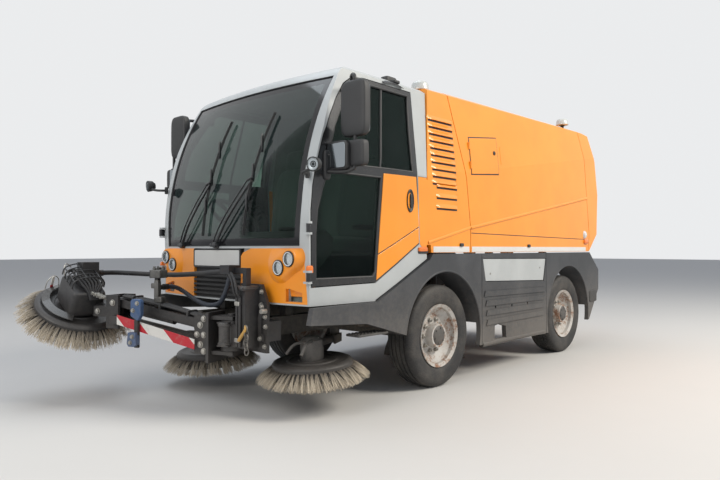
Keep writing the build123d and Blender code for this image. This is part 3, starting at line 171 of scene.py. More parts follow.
def sheet_of(points: np.ndarray, through: Sequence[float]) -> Shape:
    """A sheet of even thickness: the grid, its copy moved by the vector through, and the rim between them."""
    rows, columns = points.shape[:2]
    back = points[::-1] + np.asarray(through, float)
    loop = surface(np.concatenate((points, back)), wrap_u=True)
    i = np.arange(rows - 1)
    ends = []
    for j in (0, columns - 1):
        near = i * columns + j
        far = (2 * rows - 1 - i) * columns + j
        ends.append(np.stack((near, near + columns, far - columns, far), 1))
    return Shape(loop.points, loop.faces + tuple(ends))


def lathe(profile: Sequence[Sequence[float]], centre: Sequence[float], axis: Sequence[float],
          count: int, closed: bool = False) -> Shape:
    """A profile turned about an axis: centre + height * axis + radius * (cos a * side + sin a * other side).

    Args:
        profile: pairs of radius and height along the axis.
        centre: the place where the height is zero.
        axis: the direction that the profile is turned about.
        count: the number of stations round the axis.
        closed: whether the profile's last point joins its first.
    """
    axis = unit(axis)
    guess = X_AXIS if abs(axis[0]) < 0.8 else Y_AXIS
    side = unit(guess - np.dot(guess, axis) * axis)
    other = np.cross(axis, side)
    radius, height = np.asarray(profile, float).T
    angle = np.linspace(0, 2 * np.pi, count, endpoint=False)
    around = np.cos(angle)[:, None] * side + np.sin(angle)[:, None] * other
    points = np.asarray(centre, float) + height[:, None, None] * axis + radius[:, None, None] * around[None]
    return surface(points, wrap_u=closed, wrap_v=True)


def arc(radius: float, angle: np.ndarray, height: float) -> np.ndarray:
    """Places round the z axis: (radius * cos a, radius * sin a, height) for every angle a."""
    return np.stack((radius * np.cos(angle), radius * np.sin(angle), height + 0 * angle), 1)


def smooth_path(points: Sequence[Sequence[float]], count: int) -> np.ndarray:
    """Places on a smooth line: on each stretch, the cubic whose end slopes are half the neighbours' step."""
    p = np.asarray(points, float)
    p = np.vstack((2 * p[0] - p[1], p, 2 * p[-1] - p[-2]))
    t = np.linspace(0, len(p) - 3, count)
    i = np.minimum(t.astype(int), len(p) - 4)
    u = (t - i)[:, None]
    a, b, c, d = (p[i + k] for k in range(4))
    return 0.5 * (2 * b + (c - a) * u + (2 * a - 5 * b + 4 * c - d) * u**2 + (3 * b - a - 3 * c + d) * u**3)


def tube(path: Sequence[Sequence[float]], radius: float | np.ndarray, sides: int) -> Shape:
    """A round tube along a path, closed at both ends: path + radius * (cos a * side + sin a * other side)."""
    path = np.asarray(path, float)
    slope = np.gradient(path, axis=0)
    slope /= np.linalg.norm(slope, axis=1)[:, None]
    guess = np.eye(3)[np.argmin(np.abs(slope).max(0))]
    side = np.cross(slope, guess)
    side /= np.linalg.norm(side, axis=1)[:, None]
    other = np.cross(slope, side)
    radius = np.broadcast_to(radius, len(path))
    path = np.concatenate((path[:1], path, path[-1:]))
    side, other = (np.concatenate((s[:1], s, s[-1:])) for s in (side, other))
    radius = np.concatenate(([0.0], radius, [0.0]))
    angle = np.linspace(0, 2 * np.pi, sides, endpoint=False)
    ring = np.cos(angle)[None, :, None] * side[:, None] + np.sin(angle)[None, :, None] * other[:, None]
    return surface(path[:, None] + radius[:, None, None] * ring, wrap_v=True)


def bar(start: Sequence[float], end: Sequence[float], radius: float, sides: int = 16) -> Shape:
    """A straight round bar between two places."""
    return tube(np.linspace(start, end, 2), radius, sides)


def pipe(points: Sequence[Sequence[float]], count: int, radius: float | np.ndarray, sides: int) -> Shape:
    """A round tube along the smooth line through the points."""
    return tube(smooth_path(points, count), radius, sides)


def loop_tube(line: np.ndarray, radius: float) -> Shape:
    """A thin tube along a line that comes back to its start."""
    return tube(np.vstack((line, line[:1])), radius, 8)


def prism(outline: Sequence[Sequence[float]], origin: Sequence[float], x_dir: Sequence[float],
          y_dir: Sequence[float], depth: float) -> Shape:
    """A flat outline made solid: origin + u * x_dir + v * y_dir, and the same moved back by the depth."""
    u, v = np.asarray(outline, float).T
    x_dir, y_dir = unit(x_dir), unit(y_dir)
    front = np.asarray(origin, float) + u[:, None] * x_dir + v[:, None] * y_dir
    rows = np.stack((front, front - np.cross(x_dir, y_dir) * depth))
    walls = surface(rows, wrap_v=True)
    count = len(u)
    caps = (np.arange(count)[None, :], count + np.arange(count)[::-1][None, :])
    return Shape(walls.points, walls.faces + caps)


def side_plate(outline: Sequence[Sequence[float]], x0: float, x1: float) -> Shape:
    """A plate that stands along the machine from x0 to x1, on an outline of (y, z)."""
    return prism(outline, (x1, 0, 0), Y_AXIS, Z_AXIS, x1 - x0)


def front_plate(outline: Sequence[Sequence[float]], y0: float, y1: float) -> Shape:
    """A plate that stands across the machine from y0 to y1, on an outline of (x, z)."""
    return prism(outline, (0, y0, 0), X_AXIS, Z_AXIS, y0 - y1)


def rectangle(u0: float, u1: float, v0: float, v1: float, corner: float = 0.0, steps: int = 4) -> np.ndarray:
    """The outline of a rectangle, with round corners: a corner's centre plus corner * (cos a, sin a)."""
    if corner == 0.0:
        return np.array([(u0, v0), (u1, v0), (u1, v1), (u0, v1)], float)
    centres = np.array([(u1 - corner, v0 + corner), (u1 - corner, v1 - corner),
                        (u0 + corner, v1 - corner), (u0 + corner, v0 + corner)])
    first = np.radians([-90.0, 0.0, 90.0, 180.0])
    angle = first[:, None] + np.linspace(0, np.pi / 2, steps)[None, :]
    arcs = centres[:, None] + corner * np.stack((np.cos(angle), np.sin(angle)), -1)
    return arcs.reshape(-1, 2)


def soft_box(centre: Sequence[float], half: Sequence[float], power: float = 0.3,
             rows: int = 17, columns: int = 32) -> Shape:
    """A box with round edges: half * sign * |cos a * cos b|^power and its like along the other axes."""
    a = np.linspace(-np.pi / 2, np.pi / 2, rows)[:, None]
    b = np.linspace(0, 2 * np.pi, columns, endpoint=False)[None, :] + np.pi / columns

    def swell(value: np.ndarray) -> np.ndarray:
        """The value's size raised to the power, with its sign kept."""
        return np.sign(value) * np.abs(value) ** power

    points = np.stack((swell(np.cos(a)) * swell(np.cos(b)), swell(np.cos(a)) * swell(np.sin(b)),
                       swell(np.sin(a)) * np.ones_like(b)), -1)
    return surface(points * np.asarray(half, float) + np.asarray(centre, float), wrap_v=True)


def bolt(axis: Sequence[float], radius: float = 11.0, height: float = 9.0) -> Shape:
    """A hexagon head on its washer, standing up along the axis from its foot at the origin."""
    washer = lathe([(0, 0), (radius * 1.35, 0), (radius * 1.35, 2), (0, 2)], HERE, axis, 14)
    head = lathe([(0, 2), (radius, 2), (radius, height - 1.5), (radius * 0.85, height), (0, height)], HERE,
                 axis, 6)
    return washer + head


# Materials

class Sock:
    """A socket of a material's tree, or what a sum of such sockets gives, for maths in plain expressions."""

    def __init__(self, tree: "Tree", link: bpy.types.NodeSocket) -> None:
        """Keeps the tree and its socket."""
        self.tree = tree
        self.link = link

    def math(self, operation: str, *others: "Sock | float", clamp: bool = False) -> "Sock":
        """One Math node on this value and the others."""
        values = dict(enumerate((self, *others)))
        return self.tree.node("ShaderNodeMath", {"operation": operation, "use_clamp": clamp}, values)

    def __add__(self, other: "Sock | float") -> "Sock":
        """The sum."""
        return self.math("ADD", other)

    def __radd__(self, other: float) -> "Sock":
        """The sum with a number in front."""
        return self.math("ADD", other)

    def __sub__(self, other: "Sock | float") -> "Sock":
        """The difference."""
        return self.math("SUBTRACT", other)

    def __rsub__(self, other: float) -> "Sock":
        """A number less this value."""
        return (self * -1.0) + other

    def __mul__(self, other: "Sock | float") -> "Sock":
        """The product."""
        return self.math("MULTIPLY", other)

    def __rmul__(self, other: float) -> "Sock":
        """The product with a number in front."""
        return self.math("MULTIPLY", other)

    def __truediv__(self, other: "Sock | float") -> "Sock":
        """The quotient."""
        return self.math("DIVIDE", other)

    def __gt__(self, other: "Sock | float") -> "Sock":
        """One where this value is the greater, otherwise zero."""
        return self.math("GREATER_THAN", other)

    def step(self, low: float, high: float) -> "Sock":
        """A soft step from zero at low to one at high."""
        return self.tree.node("ShaderNodeMapRange", {"interpolation_type": "SMOOTHSTEP"},
                              {0: self, 1: low, 2: high})

    def part(self, axis: str) -> "Sock":
        """One coordinate of a vector."""
        return self.tree.node("ShaderNodeSeparateXYZ", {}, {0: self}, "xyz".index(axis))


class Tree:
    """One material's node tree, with a single method that makes any node."""

    output_kind = "ShaderNodeOutputMaterial"

    def __init__(self, name: str) -> None:
        """Starts an empty material."""
        self.clear(bpy.data.materials.new(name))
        self.place = self.node("ShaderNodeTexCoord", {}, {}, "Object")

    def clear(self, owner: bpy.types.ID) -> None:
        """Takes the owner's node tree, with nothing in it."""
        owner.use_nodes = True
        self.owner = owner
        self.nodes = owner.node_tree.nodes
        self.links = owner.node_tree.links
        self.nodes.clear()

    def node(self, kind: str, settings: dict[str, object], inputs: dict[int | str, object],
             output: int | str = 0) -> Sock:
        """Makes a node.

        Args:
            kind: the node's type.
            settings: its own settings, set before its sockets.
            inputs: a number, colour or Sock for each socket, by index or name.
            output: the socket that is handed back, by index or name.

        Returns:
            The chosen output.
        """
        made = self.nodes.new(kind)
        for key, value in settings.items():
            setattr(made, key, value)
        for key, value in inputs.items():
            if isinstance(value, Sock):
                self.links.new(value.link, made.inputs[key])
            else:
                made.inputs[key].default_value = value
        return Sock(self, made.outputs[output])

    def noise(self, scale: float, detail: float = 3.0, rough: float = 0.55, where: Sock | None = None,
              twist: float = 0.0) -> Sock:
        """Cloudy noise from zero to one, scale patches to a metre."""
        return self.node("ShaderNodeTexNoise", {}, {"Vector": where or self.place, "Scale": scale,
                                                    "Detail": detail, "Roughness": rough,
                                                    "Distortion": twist}, "Fac")

    def mix(self, factor: Sock | float, first: object, second: object) -> Sock:
        """The first colour turning to the second as the factor rises."""
        colours = {0: factor, 6: _colour(first), 7: _colour(second)}
        return self.node("ShaderNodeMix", {"data_type": "RGBA"}, colours, 2)

    def bump(self, height: Sock, distance: float, strength: float = 1.0) -> Sock:
        """A normal from a height, where the height's one is the distance in metres."""
        return self.node("ShaderNodeBump", {}, {"Height": height, "Distance": distance, "Strength": strength},
                         "Normal")

    def surface(self, **sockets: object) -> Sock:
        """The main shader, with its sockets named by words joined by underscores."""
        named = {key.replace("_", " ").title().replace("Ior", "IOR"): value for key, value in sockets.items()}
        return self.node("ShaderNodeBsdfPrincipled", {}, {k: _colour(v) for k, v in named.items()})

    def close(self, shader: Sock) -> bpy.types.ID:
        """Joins the shader to the output and hands the material or world back."""
        output = self.nodes.new(self.output_kind)
        self.links.new(shader.link, output.inputs["Surface"])
        return self.owner


class WorldTree(Tree):
    """The world's node tree."""

    output_kind = "ShaderNodeOutputWorld"

    def __init__(self, name: str) -> None:
        """Starts an empty world."""
        self.clear(bpy.data.worlds.new(name))


def _colour(value: object) -> object:
    """A three-part colour with its opacity added; anything else as it is."""
    return (*value, 1.0) if isinstance(value, tuple) and len(value) == 3 else value


def shade(colour: Sequence[float], by: float) -> tuple[float, ...]:
    """The colour made lighter or darker, with no part above one."""
    return tuple(min(1.0, part * by) for part in colour)


DUST = (0.36, 0.31, 0.25)
SOOT = (0.02, 0.02, 0.022)
RUST = (0.21, 0.085, 0.035)


@dataclass(frozen=True)
class Coat:
    """A paint, moulded plastic or metal: an even colour with cloudy changes, road dust and a fine grain."""

    name: str
    colour: tuple[float, float, float]
    roughness: float = 0.4
    metallic: float = 0.0
    gloss: float = 0.0
    dust: float = 0.25
    dust_top: float = 1.2
    rust: float = 0.0
    grain: float = 0.0
    grain_scale: float = 900.0
    change: float = 0.08
    soot: float = 0.0

    def build(self) -> bpy.types.Material:
        """Makes the material."""
        tree = Tree(self.name)
        height = tree.place.part("z")
        cloud = tree.noise(2.6, 4.0)
        fine = tree.noise(38.0, 4.0, 0.65)
        colour = tree.mix(cloud.step(0.3, 0.7), shade(self.colour, 1 - self.change * 2),
                          shade(self.colour, 1 + self.change))
        low = 1.0 - height.step(0.0, self.dust_top)
        dusty = ((cloud * 0.6 + fine * 0.6 + low * 0.5).step(0.55, 1.15) * (low * 0.8 + 0.2)) * self.dust
        colour = tree.mix(dusty, colour, DUST)
        rough = dusty * 0.4 + (self.roughness + fine * 0.08)
        if self.soot:
            grease = tree.noise(9.0, 5.0, 0.7, twist=0.6).step(0.5, 0.72) * self.soot
            colour = tree.mix(grease, colour, SOOT)
            rough = rough - grease * 0.12
        if self.rust:
            spots = (tree.noise(24.0, 6.0, 0.72) + tree.noise(5.0, 3.0) * 0.5).step(0.86, 0.98) * self.rust
            colour = tree.mix(spots, colour, RUST)
            rough = rough + spots * 0.3
        sockets = {"base_color": colour, "roughness": rough, "metallic": self.metallic,
                   "coat_weight": self.gloss, "coat_roughness": 0.08}
        if self.grain:
            grain = tree.noise(self.grain_scale, 2.0, 0.5)
            sockets["normal"] = tree.bump(grain, self.grain)
        return tree.close(tree.surface(**sockets))


@dataclass(frozen=True)
class WheelPaint:
    """Pale wheel paint with rust in patches, brake dust and chips."""

    name: str
    colour: tuple[float, float, float] = (0.5, 0.485, 0.46)

    def build(self) -> bpy.types.Material:
        """Makes the material."""
        tree = Tree(self.name)
        patches = tree.noise(7.0, 5.0, 0.7)
        chips = tree.noise(60.0, 4.0, 0.7)
        colour = tree.mix(patches.step(0.35, 0.7), self.colour, (0.43, 0.39, 0.34))
        rust = (patches + chips * 0.55).step(0.76, 0.94)
        colour = tree.mix(rust * 0.85, colour, RUST)
        colour = tree.mix(tree.noise(16.0, 4.0).step(0.55, 0.8) * 0.45, colour, (0.13, 0.11, 0.1))
        return tree.close(tree.surface(base_color=colour, roughness=0.5 + rust * 0.3,
                                       normal=tree.bump(chips, 0.0006)))


@dataclass(frozen=True)
class Rubber:
    """Tyre or hose rubber, black with pale dust in patches."""

    name: str
    colour: tuple[float, float, float] = (0.022, 0.022, 0.023)
    dust: float = 0.5

    def build(self) -> bpy.types.Material:
        """Makes the material."""
        tree = Tree(self.name)
        patches = tree.noise(6.0, 5.0, 0.6)
        fine = tree.noise(120.0, 3.0)
        dusty = (patches * 0.8 + fine * 0.4).step(0.45, 0.85) * self.dust
        colour = tree.mix(dusty, self.colour, (0.2, 0.18, 0.155))
        return tree.close(tree.surface(base_color=colour, roughness=0.62 + dusty * 0.3,
                                       normal=tree.bump(fine, 0.0004)))


@dataclass(frozen=True)
class Pane:
    """Window glass: see-through with a tint, and a mirror-like skin that grows at a low angle.

    The dark border follows the mesh attribute edge, the distance in metres from the pane's rim, and the
    shaded band at the top follows the height, where those are given.
    """

    name: str
    tint: tuple[float, float, float] = (0.55, 0.64, 0.6)
    border: float = 0.0
    band: tuple[float, float] | None = None
    haze: float = 0.1

    def build(self) -> bpy.types.Material:
        """Makes the material."""
        tree = Tree(self.name)
        clear = tree.node("ShaderNodeBsdfTransparent", {}, {"Color": _colour(self.tint)})
        skin = tree.surface(base_color=(0.02, 0.03, 0.03), roughness=0.04, specular_ior_level=0.8)
        turn = tree.node("ShaderNodeLayerWeight", {}, {"Blend": 0.22}, "Fresnel")
        dirt = tree.noise(4.0, 5.0, 0.7).step(0.45, 0.85) * 0.1
        hide = (turn * 0.75 + self.haze + dirt).math("MINIMUM", 1.0)
        if self.band:
            top = tree.place.part("z").step(*self.band) * 0.85
            hide = hide.math("MAXIMUM", top)
        glass = tree.node("ShaderNodeMixShader", {}, {0: hide, 1: clear, 2: skin})
        if self.border:
            edge = tree.node("ShaderNodeAttribute", {"attribute_name": "edge"}, {}, "Fac")
            frit = 1.0 - edge.step(self.border * 0.92, self.border * 1.05)
            black = tree.surface(base_color=(0.012, 0.012, 0.014), roughness=0.12)
            glass = tree.node("ShaderNodeMixShader", {}, {0: frit, 1: glass, 2: black})
        return tree.close(glass)


@dataclass(frozen=True)
class Lens:
    """A lamp's lens: clear or coloured plastic with fine flutes."""

    name: str
    colour: tuple[float, float, float]
    flutes: float = 260.0
    roughness: float = 0.12

    def build(self) -> bpy.types.Material:
        """Makes the material."""
        tree = Tree(self.name)
        wave = tree.node("ShaderNodeTexWave", {"bands_direction": "X"},
                         {"Vector": tree.place, "Scale": self.flutes / 20, "Distortion": 0.0}, "Fac")
        cells = tree.noise(90.0, 2.0)
        colour = tree.mix(cells.step(0.35, 0.65) * 0.35, self.colour, shade(self.colour, 0.62))
        return tree.close(tree.surface(base_color=colour, roughness=self.roughness + cells * 0.05,
                                       coat_weight=0.6, normal=tree.bump(wave, 0.0008)))


@dataclass(frozen=True)
class Stripes:
    """Warning film: slanting red and white bars along a direction, dusty and scuffed."""

    name: str
    direction: tuple[float, float, float]
    pitch: float = 0.31
    slant: float = 1.0

    def build(self) -> bpy.types.Material:
        """Makes the material."""
        tree = Tree(self.name)
        along = tree.node("ShaderNodeVectorMath", {"operation": "DOT_PRODUCT"},
                          {0: tree.place, 1: self.direction}, "Value")
        count = (along + tree.place.part("z") * self.slant) / self.pitch
        red = count.math("FRACT") > 0.5
        colour = tree.mix(red, (0.68, 0.66, 0.62), (0.48, 0.018, 0.03))
        wear = tree.noise(14.0, 5.0, 0.7).step(0.5, 0.78) * 0.45
        colour = tree.mix(wear, colour, (0.3, 0.27, 0.23))
        return tree.close(tree.surface(base_color=colour, roughness=0.42 + wear * 0.4))


@dataclass(frozen=True)
class Strand:
    """Broom bristles: dark at the root and straw-coloured at the tip, each a little different."""

    name: str
    root: tuple[float, float, float] = (0.07, 0.06, 0.05)
    tip: tuple[float, float, float] = (0.62, 0.54, 0.42)

    def build(self) -> bpy.types.Material:
        """Makes the material."""
        tree = Tree(self.name)
        along = tree.node("ShaderNodeAttribute", {"attribute_name": "along"}, {}, "Fac")
        shade = tree.node("ShaderNodeAttribute", {"attribute_name": "shade"}, {}, "Fac")
        colour = tree.mix(along.step(-0.1, 0.8), self.root, self.tip)
        colour = tree.mix(shade * 0.6, colour, (0.16, 0.13, 0.1))
        return tree.close(tree.surface(base_color=colour, roughness=0.75))


@dataclass(frozen=True)
class Cloth:
    """Seat fabric with a fine weave."""

    name: str
    colour: tuple[float, float, float] = (0.07, 0.09, 0.085)

    def build(self) -> bpy.types.Material:
        """Makes the material."""
        tree = Tree(self.name)
        weave = [tree.node("ShaderNodeTexWave", {"bands_direction": way},
                           {"Vector": tree.place, "Scale": 90.0, "Distortion": 0.6}, "Fac") for way in "XZ"]
        mesh = weave[0] * weave[1]
        colour = tree.mix(mesh, self.colour, shade(self.colour, 1.9))
        return tree.close(tree.surface(base_color=colour, roughness=0.9, sheen_weight=0.25,
                                       normal=tree.bump(mesh, 0.0007)))


class Look(Enum):
    """Every finish on the machine."""

    ORANGE = Coat("orange_coachwork", (0.92, 0.31, 0.016), 0.3, gloss=0.35, dust=0.12, change=0.03)
    SILVER = Coat("silver_grey_paint", (0.46, 0.485, 0.49), 0.38, gloss=0.15, dust=0.25, change=0.05)
    CHASSIS = Coat("dusty_black_paint", (0.017, 0.018, 0.02), 0.48, dust=0.4, soot=0.3, change=0.2)
    BROOM_BLACK = Coat("worn_black_paint", (0.012, 0.014, 0.019), 0.42, dust=0.14, dust_top=1.6, rust=0.08,
                       grain=0.0006, grain_scale=160.0, change=0.25)
    GREY_STEEL = Coat("dusty_grey_steel", (0.06, 0.063, 0.068), 0.46, metallic=0.35, dust=0.25, dust_top=1.4,
                      soot=0.6, rust=0.2, grain=0.0005, grain_scale=120.0, change=0.2)
    MOULDING = Coat("grained_grey_moulding", (0.045, 0.049, 0.056), 0.55, dust=0.3, dust_top=1.2,
                    grain=0.0005, change=0.12)
    TRIM = Coat("dark_trim", (0.025, 0.026, 0.028), 0.5, dust=0.15, grain=0.0004, change=0.1)
    GLOSS_BLACK = Coat("gloss_black_door_frame", (0.016, 0.017, 0.019), 0.22, gloss=0.3, dust=0.15,
                       change=0.1)
    IRON = Coat("dusty_axle_iron", (0.04, 0.038, 0.036), 0.65, dust=0.7, rust=0.4, change=0.2)
    STEEL = Coat("bright_steel", (0.55, 0.55, 0.55), 0.22, metallic=1.0, dust=0.15, change=0.05)
    ZINC = Coat("zinc_fitting", (0.42, 0.42, 0.4), 0.38, metallic=0.8, dust=0.4, dust_top=1.6, rust=0.2,
                change=0.15)
    DULL_ZINC = Coat("dull_zinc_fitting", (0.2, 0.2, 0.195), 0.42, metallic=0.7, dust=0.3, dust_top=1.6,
                     soot=0.5, change=0.2)
    BLUE = Coat("blue_bracket_paint", (0.02, 0.09, 0.24), 0.45, dust=0.35, dust_top=1.5, soot=0.3,
                change=0.15)
    WHITE = Coat("pale_reflective_film", (0.75, 0.74, 0.72), 0.4, dust=0.25, dust_top=2.2, change=0.04)
    PLATE = Coat("blank_plate_white", (0.62, 0.62, 0.6), 0.35, dust=0.3, change=0.04)
    YELLOW = Coat("hook_yellow", (0.62, 0.33, 0.03), 0.45, dust=0.4, dust_top=1.6, soot=0.3)
    INTERIOR = Coat("grey_green_lining", (0.16, 0.2, 0.185), 0.7, dust=0.1, grain=0.0005, change=0.1)
    RIM = WheelPaint("rusty_wheel_paint")
    TYRE = Rubber("tyre_rubber", (0.018, 0.018, 0.019), 0.35)
    HOSE = Rubber("hose_rubber", (0.013, 0.014, 0.017), 0.15)
    SPIRAL_HOSE = Rubber("spiral_wrapped_hose", (0.028, 0.036, 0.052), 0.2)
    GLASS = Pane("tinted_glass")
    LAMP_GLASS = Pane("lamp_glass", (0.93, 0.95, 0.96), haze=0.02)
    REFLECTOR = Coat("bright_reflector", (0.92, 0.93, 0.94), 0.22, metallic=0.15, dust=0.0, change=0.02)
    MIRROR = Coat("mirror_glass", (0.3, 0.33, 0.35), 0.06, metallic=1.0, dust=0.05, change=0.02)
    SCREEN = Pane("windscreen_glass", (0.78, 0.85, 0.81), border=0.05, band=(1.98, 2.07), haze=0.05)
    LAMP = Lens("clear_lamp_lens", (0.7, 0.72, 0.74))
    AMBER = Lens("amber_lens", (0.85, 0.2, 0.015), 300.0)
    RED = Lens("red_lens", (0.45, 0.01, 0.012), 300.0)
    BEACON = Lens("pale_beacon_dome", (0.55, 0.57, 0.55), 60.0, 0.2)
    BRISTLE = Strand("straw_bristle")
    CLOTH = Cloth("seat_cloth")
    FILM = Stripes("warning_film", (0.937, 0.349, 0.0))


SLOT_LOOKS = {
    "orange_paint": Look.ORANGE, "silver_paint": Look.SILVER, "black_paint": Look.CHASSIS,
    "rim_paint": Look.RIM, "dark_plastic": Look.MOULDING, "trim_plastic": Look.TRIM,
    "bristle": Look.BRISTLE, "tyre_rubber": Look.TYRE, "hose_rubber": Look.HOSE, "axle_iron": Look.IRON,
    "cylinder_steel": Look.STEEL, "clear_glass": Look.GLASS, "lamp_lens": Look.LAMP,
    "beacon_lens": Look.BEACON, "plate_white": Look.PLATE, "seat_cloth": Look.CLOTH,
    "warning_film": Look.FILM,
}
NODE_LOOKS = {
    "swing_bracket": Look.BROOM_BLACK, "upper_link": Look.BROOM_BLACK, "lower_link": Look.BROOM_BLACK,
    "end_bracket": Look.BROOM_BLACK, "broom_head": Look.BROOM_BLACK, "broom_carrier": Look.BROOM_BLACK,
    "broom_arm_left": Look.GREY_STEEL, "broom_arm_right": Look.GREY_STEEL,
    "door_left": Look.GLOSS_BLACK, "door_right": Look.GLOSS_BLACK,
    "cab_tub": Look.INTERIOR, "dashboard": Look.TRIM, "number_plate": Look.TRIM,
}


class Paintshop:
    """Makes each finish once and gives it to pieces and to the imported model's own nodes."""

    def __init__(self) -> None:
        """Starts with no material made."""
        self.made: dict[Look, bpy.types.Material] = {}

    def material(self, look: Look) -> bpy.types.Material:
        """The material of a finish, made at its first use."""
        if look not in self.made:
            self.made[look] = look.value.build()
        return self.made[look]

    def paint_nodes(self) -> None:
        """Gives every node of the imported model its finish, by its own entry or else by its slot."""
        for name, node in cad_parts.items():
            for slot in node.material_slots:
                look = NODE_LOOKS.get(name) or SLOT_LOOKS[slot.material.name.split(".")[0]]
                slot.material = self.material(look)
        log.info("painted %d nodes", len(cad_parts))


shop = Paintshop()


def put(name: str, shape: Shape, look: Look, body: str = "chassis",
        replaces: Sequence[str] = (), sharp: float = 38.0, bevel: float = 0.0, merge: bool = True,
        marks: dict[str, np.ndarray] | None = None) -> bpy.types.Object:
    """Makes a piece of the machine from a shape.

    Args:
        name: the piece's name.
        shape: its mesh in layout millimetres.
        look: its finish.
        body: the body that it moves with.
        replaces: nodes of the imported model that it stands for.
        sharp: edges that turn by more than this angle, in degrees, stay sharp.
        bevel: the width of a bevel on its sharp edges, in millimetres.
        merge: whether doubled points are joined and the normals turned outwards.
        marks: values at the points, kept as mesh attributes by name.

    Returns:
        The new object.
    """
    mesh = bpy.data.meshes.new(name)
    faces = [face for group in shape.faces for face in group.tolist()]
    mesh.from_pydata(metres(shape.points), [], faces)
    for key, values in (marks or {}).items():
        attribute = mesh.attributes.new(key, "FLOAT", "POINT")
        attribute.data.foreach_set("value", np.asarray(values, np.float32))
    if merge:
        work = bmesh.new()
        work.from_mesh(mesh)
        bmesh.ops.remove_doubles(work, verts=work.verts, dist=1e-6)
        bmesh.ops.dissolve_degenerate(work, edges=work.edges, dist=1e-7)
        bmesh.ops.recalc_face_normals(work, faces=work.faces)
        work.to_mesh(mesh)
        work.free()
    mesh.shade_smooth()
    mesh.set_sharp_from_angle(angle=np.radians(sharp))
    piece = bpy.data.objects.new(name, mesh)
    bpy.context.collection.objects.link(piece)
    mesh.materials.append(shop.material(look))
    if bevel:
        edge = piece.modifiers.new("edges", "BEVEL")
        edge.width = bevel * MILLIMETRE
        edge.segments = 2
        edge.limit_method = "ANGLE"
        edge.angle_limit = np.radians(sharp)
    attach(piece, body)
    if replaces:
        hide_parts(*replaces)
    log.info("piece %s: %d faces", name, len(faces))
    return piece


# The room

@dataclass
class Studio:
    """The camera at the photograph's angle, a pale floor and soft lamps."""

    eye: tuple[float, float, float] = (3483.4, -3800.0, 1033.3)
    heading: float = 42.5
    pitch: float = 0.8
    lens: float = 30.74
    floor_half: float = 60.0
    floor_colour: tuple[float, float, float] = (0.62, 0.61, 0.59)
    backdrop: tuple[float, float, float, float] = (0.83, 0.84, 0.85, 1.0)
    sky: tuple[float, float, float, float] = (0.8, 0.87, 1.0, 1.0)
    sky_strength: float = 0.42
    lamps: tuple[tuple[object, ...], ...] = (
        ("sun_side", (8.5, 3.5, 8.0), (0.0, 0.3, 0.8), 4.5, 1150.0, (1.0, 0.94, 0.84)),
        ("front_fill", (1.0, -8.5, 5.0), (0.0, -0.8, 0.8), 5.0, 300.0, (1.0, 0.96, 0.9)),
        ("sky_top", (-2.0, -1.0, 9.0), (0.0, 0.0, 0.5), 6.0, 260.0, (0.86, 0.93, 1.0)),
    )

    def camera(self) -> None:
        """Stands the camera at the eye's place."""
        data = bpy.data.cameras.new("camera")
        data.lens = self.lens
        data.sensor_width = 36.0
        data.clip_end = 200.0
        camera = bpy.data.objects.new("camera", data)
        camera.location = Vector(metres(self.eye))
        camera.rotation_euler = (np.radians(90 + self.pitch), 0.0, np.radians(self.heading))
        bpy.context.collection.objects.link(camera)
        bpy.context.scene.camera = camera

    def room(self) -> None:
        """Lays the floor, lights the world and hangs the lamps."""
        bpy.context.scene.view_settings.view_transform = "Standard"
        half = self.floor_half
        mesh = bpy.data.meshes.new("floor")
        mesh.from_pydata([(-half, -half, 0), (half, -half, 0), (half, half, 0), (-half, half, 0)], [],
                         [(0, 1, 2, 3)])
        floor = bpy.data.objects.new("floor", mesh)
        bpy.context.collection.objects.link(floor)
        tree = Tree("studio_floor")
        grain = tree.noise(3.0, 4.0)
        colour = tree.mix(grain * 0.12, self.floor_colour, shade(self.floor_colour, 0.8))
        mesh.materials.append(tree.close(tree.surface(base_color=colour, roughness=0.85)))
        world = WorldTree("studio")
        lit = world.node("ShaderNodeBackground", {}, {"Color": self.sky, "Strength": self.sky_strength})
        seen = world.node("ShaderNodeBackground", {}, {"Color": self.backdrop})
        camera, glossy, passing = (world.node("ShaderNodeLightPath", {}, {}, f"Is {way} Ray")
                                   for way in ("Camera", "Glossy", "Transmission"))
        direct = camera.math("MAXIMUM", glossy).math("MAXIMUM", passing)
        mixed = world.node("ShaderNodeMixShader", {}, {0: direct, 1: lit, 2: seen})
        bpy.context.scene.world = world.close(mixed)
        for lamp in self.lamps:
            self.lamp(*lamp)

    def lamp(self, name: str, place: Sequence[float], target: Sequence[float], size: float, power: float,
             colour: tuple[float, float, float]) -> None:
        """Hangs one soft lamp that faces its target, in metres."""
        data = bpy.data.lights.new(name, "AREA")
        data.energy = power
        data.size = size
        data.color = colour
        lamp = bpy.data.objects.new(name, data)
        lamp.location = place
        lamp.rotation_euler = (Vector(target) - Vector(place)).to_track_quat("-Z", "Y").to_euler()
        bpy.context.collection.objects.link(lamp)


# The wheels

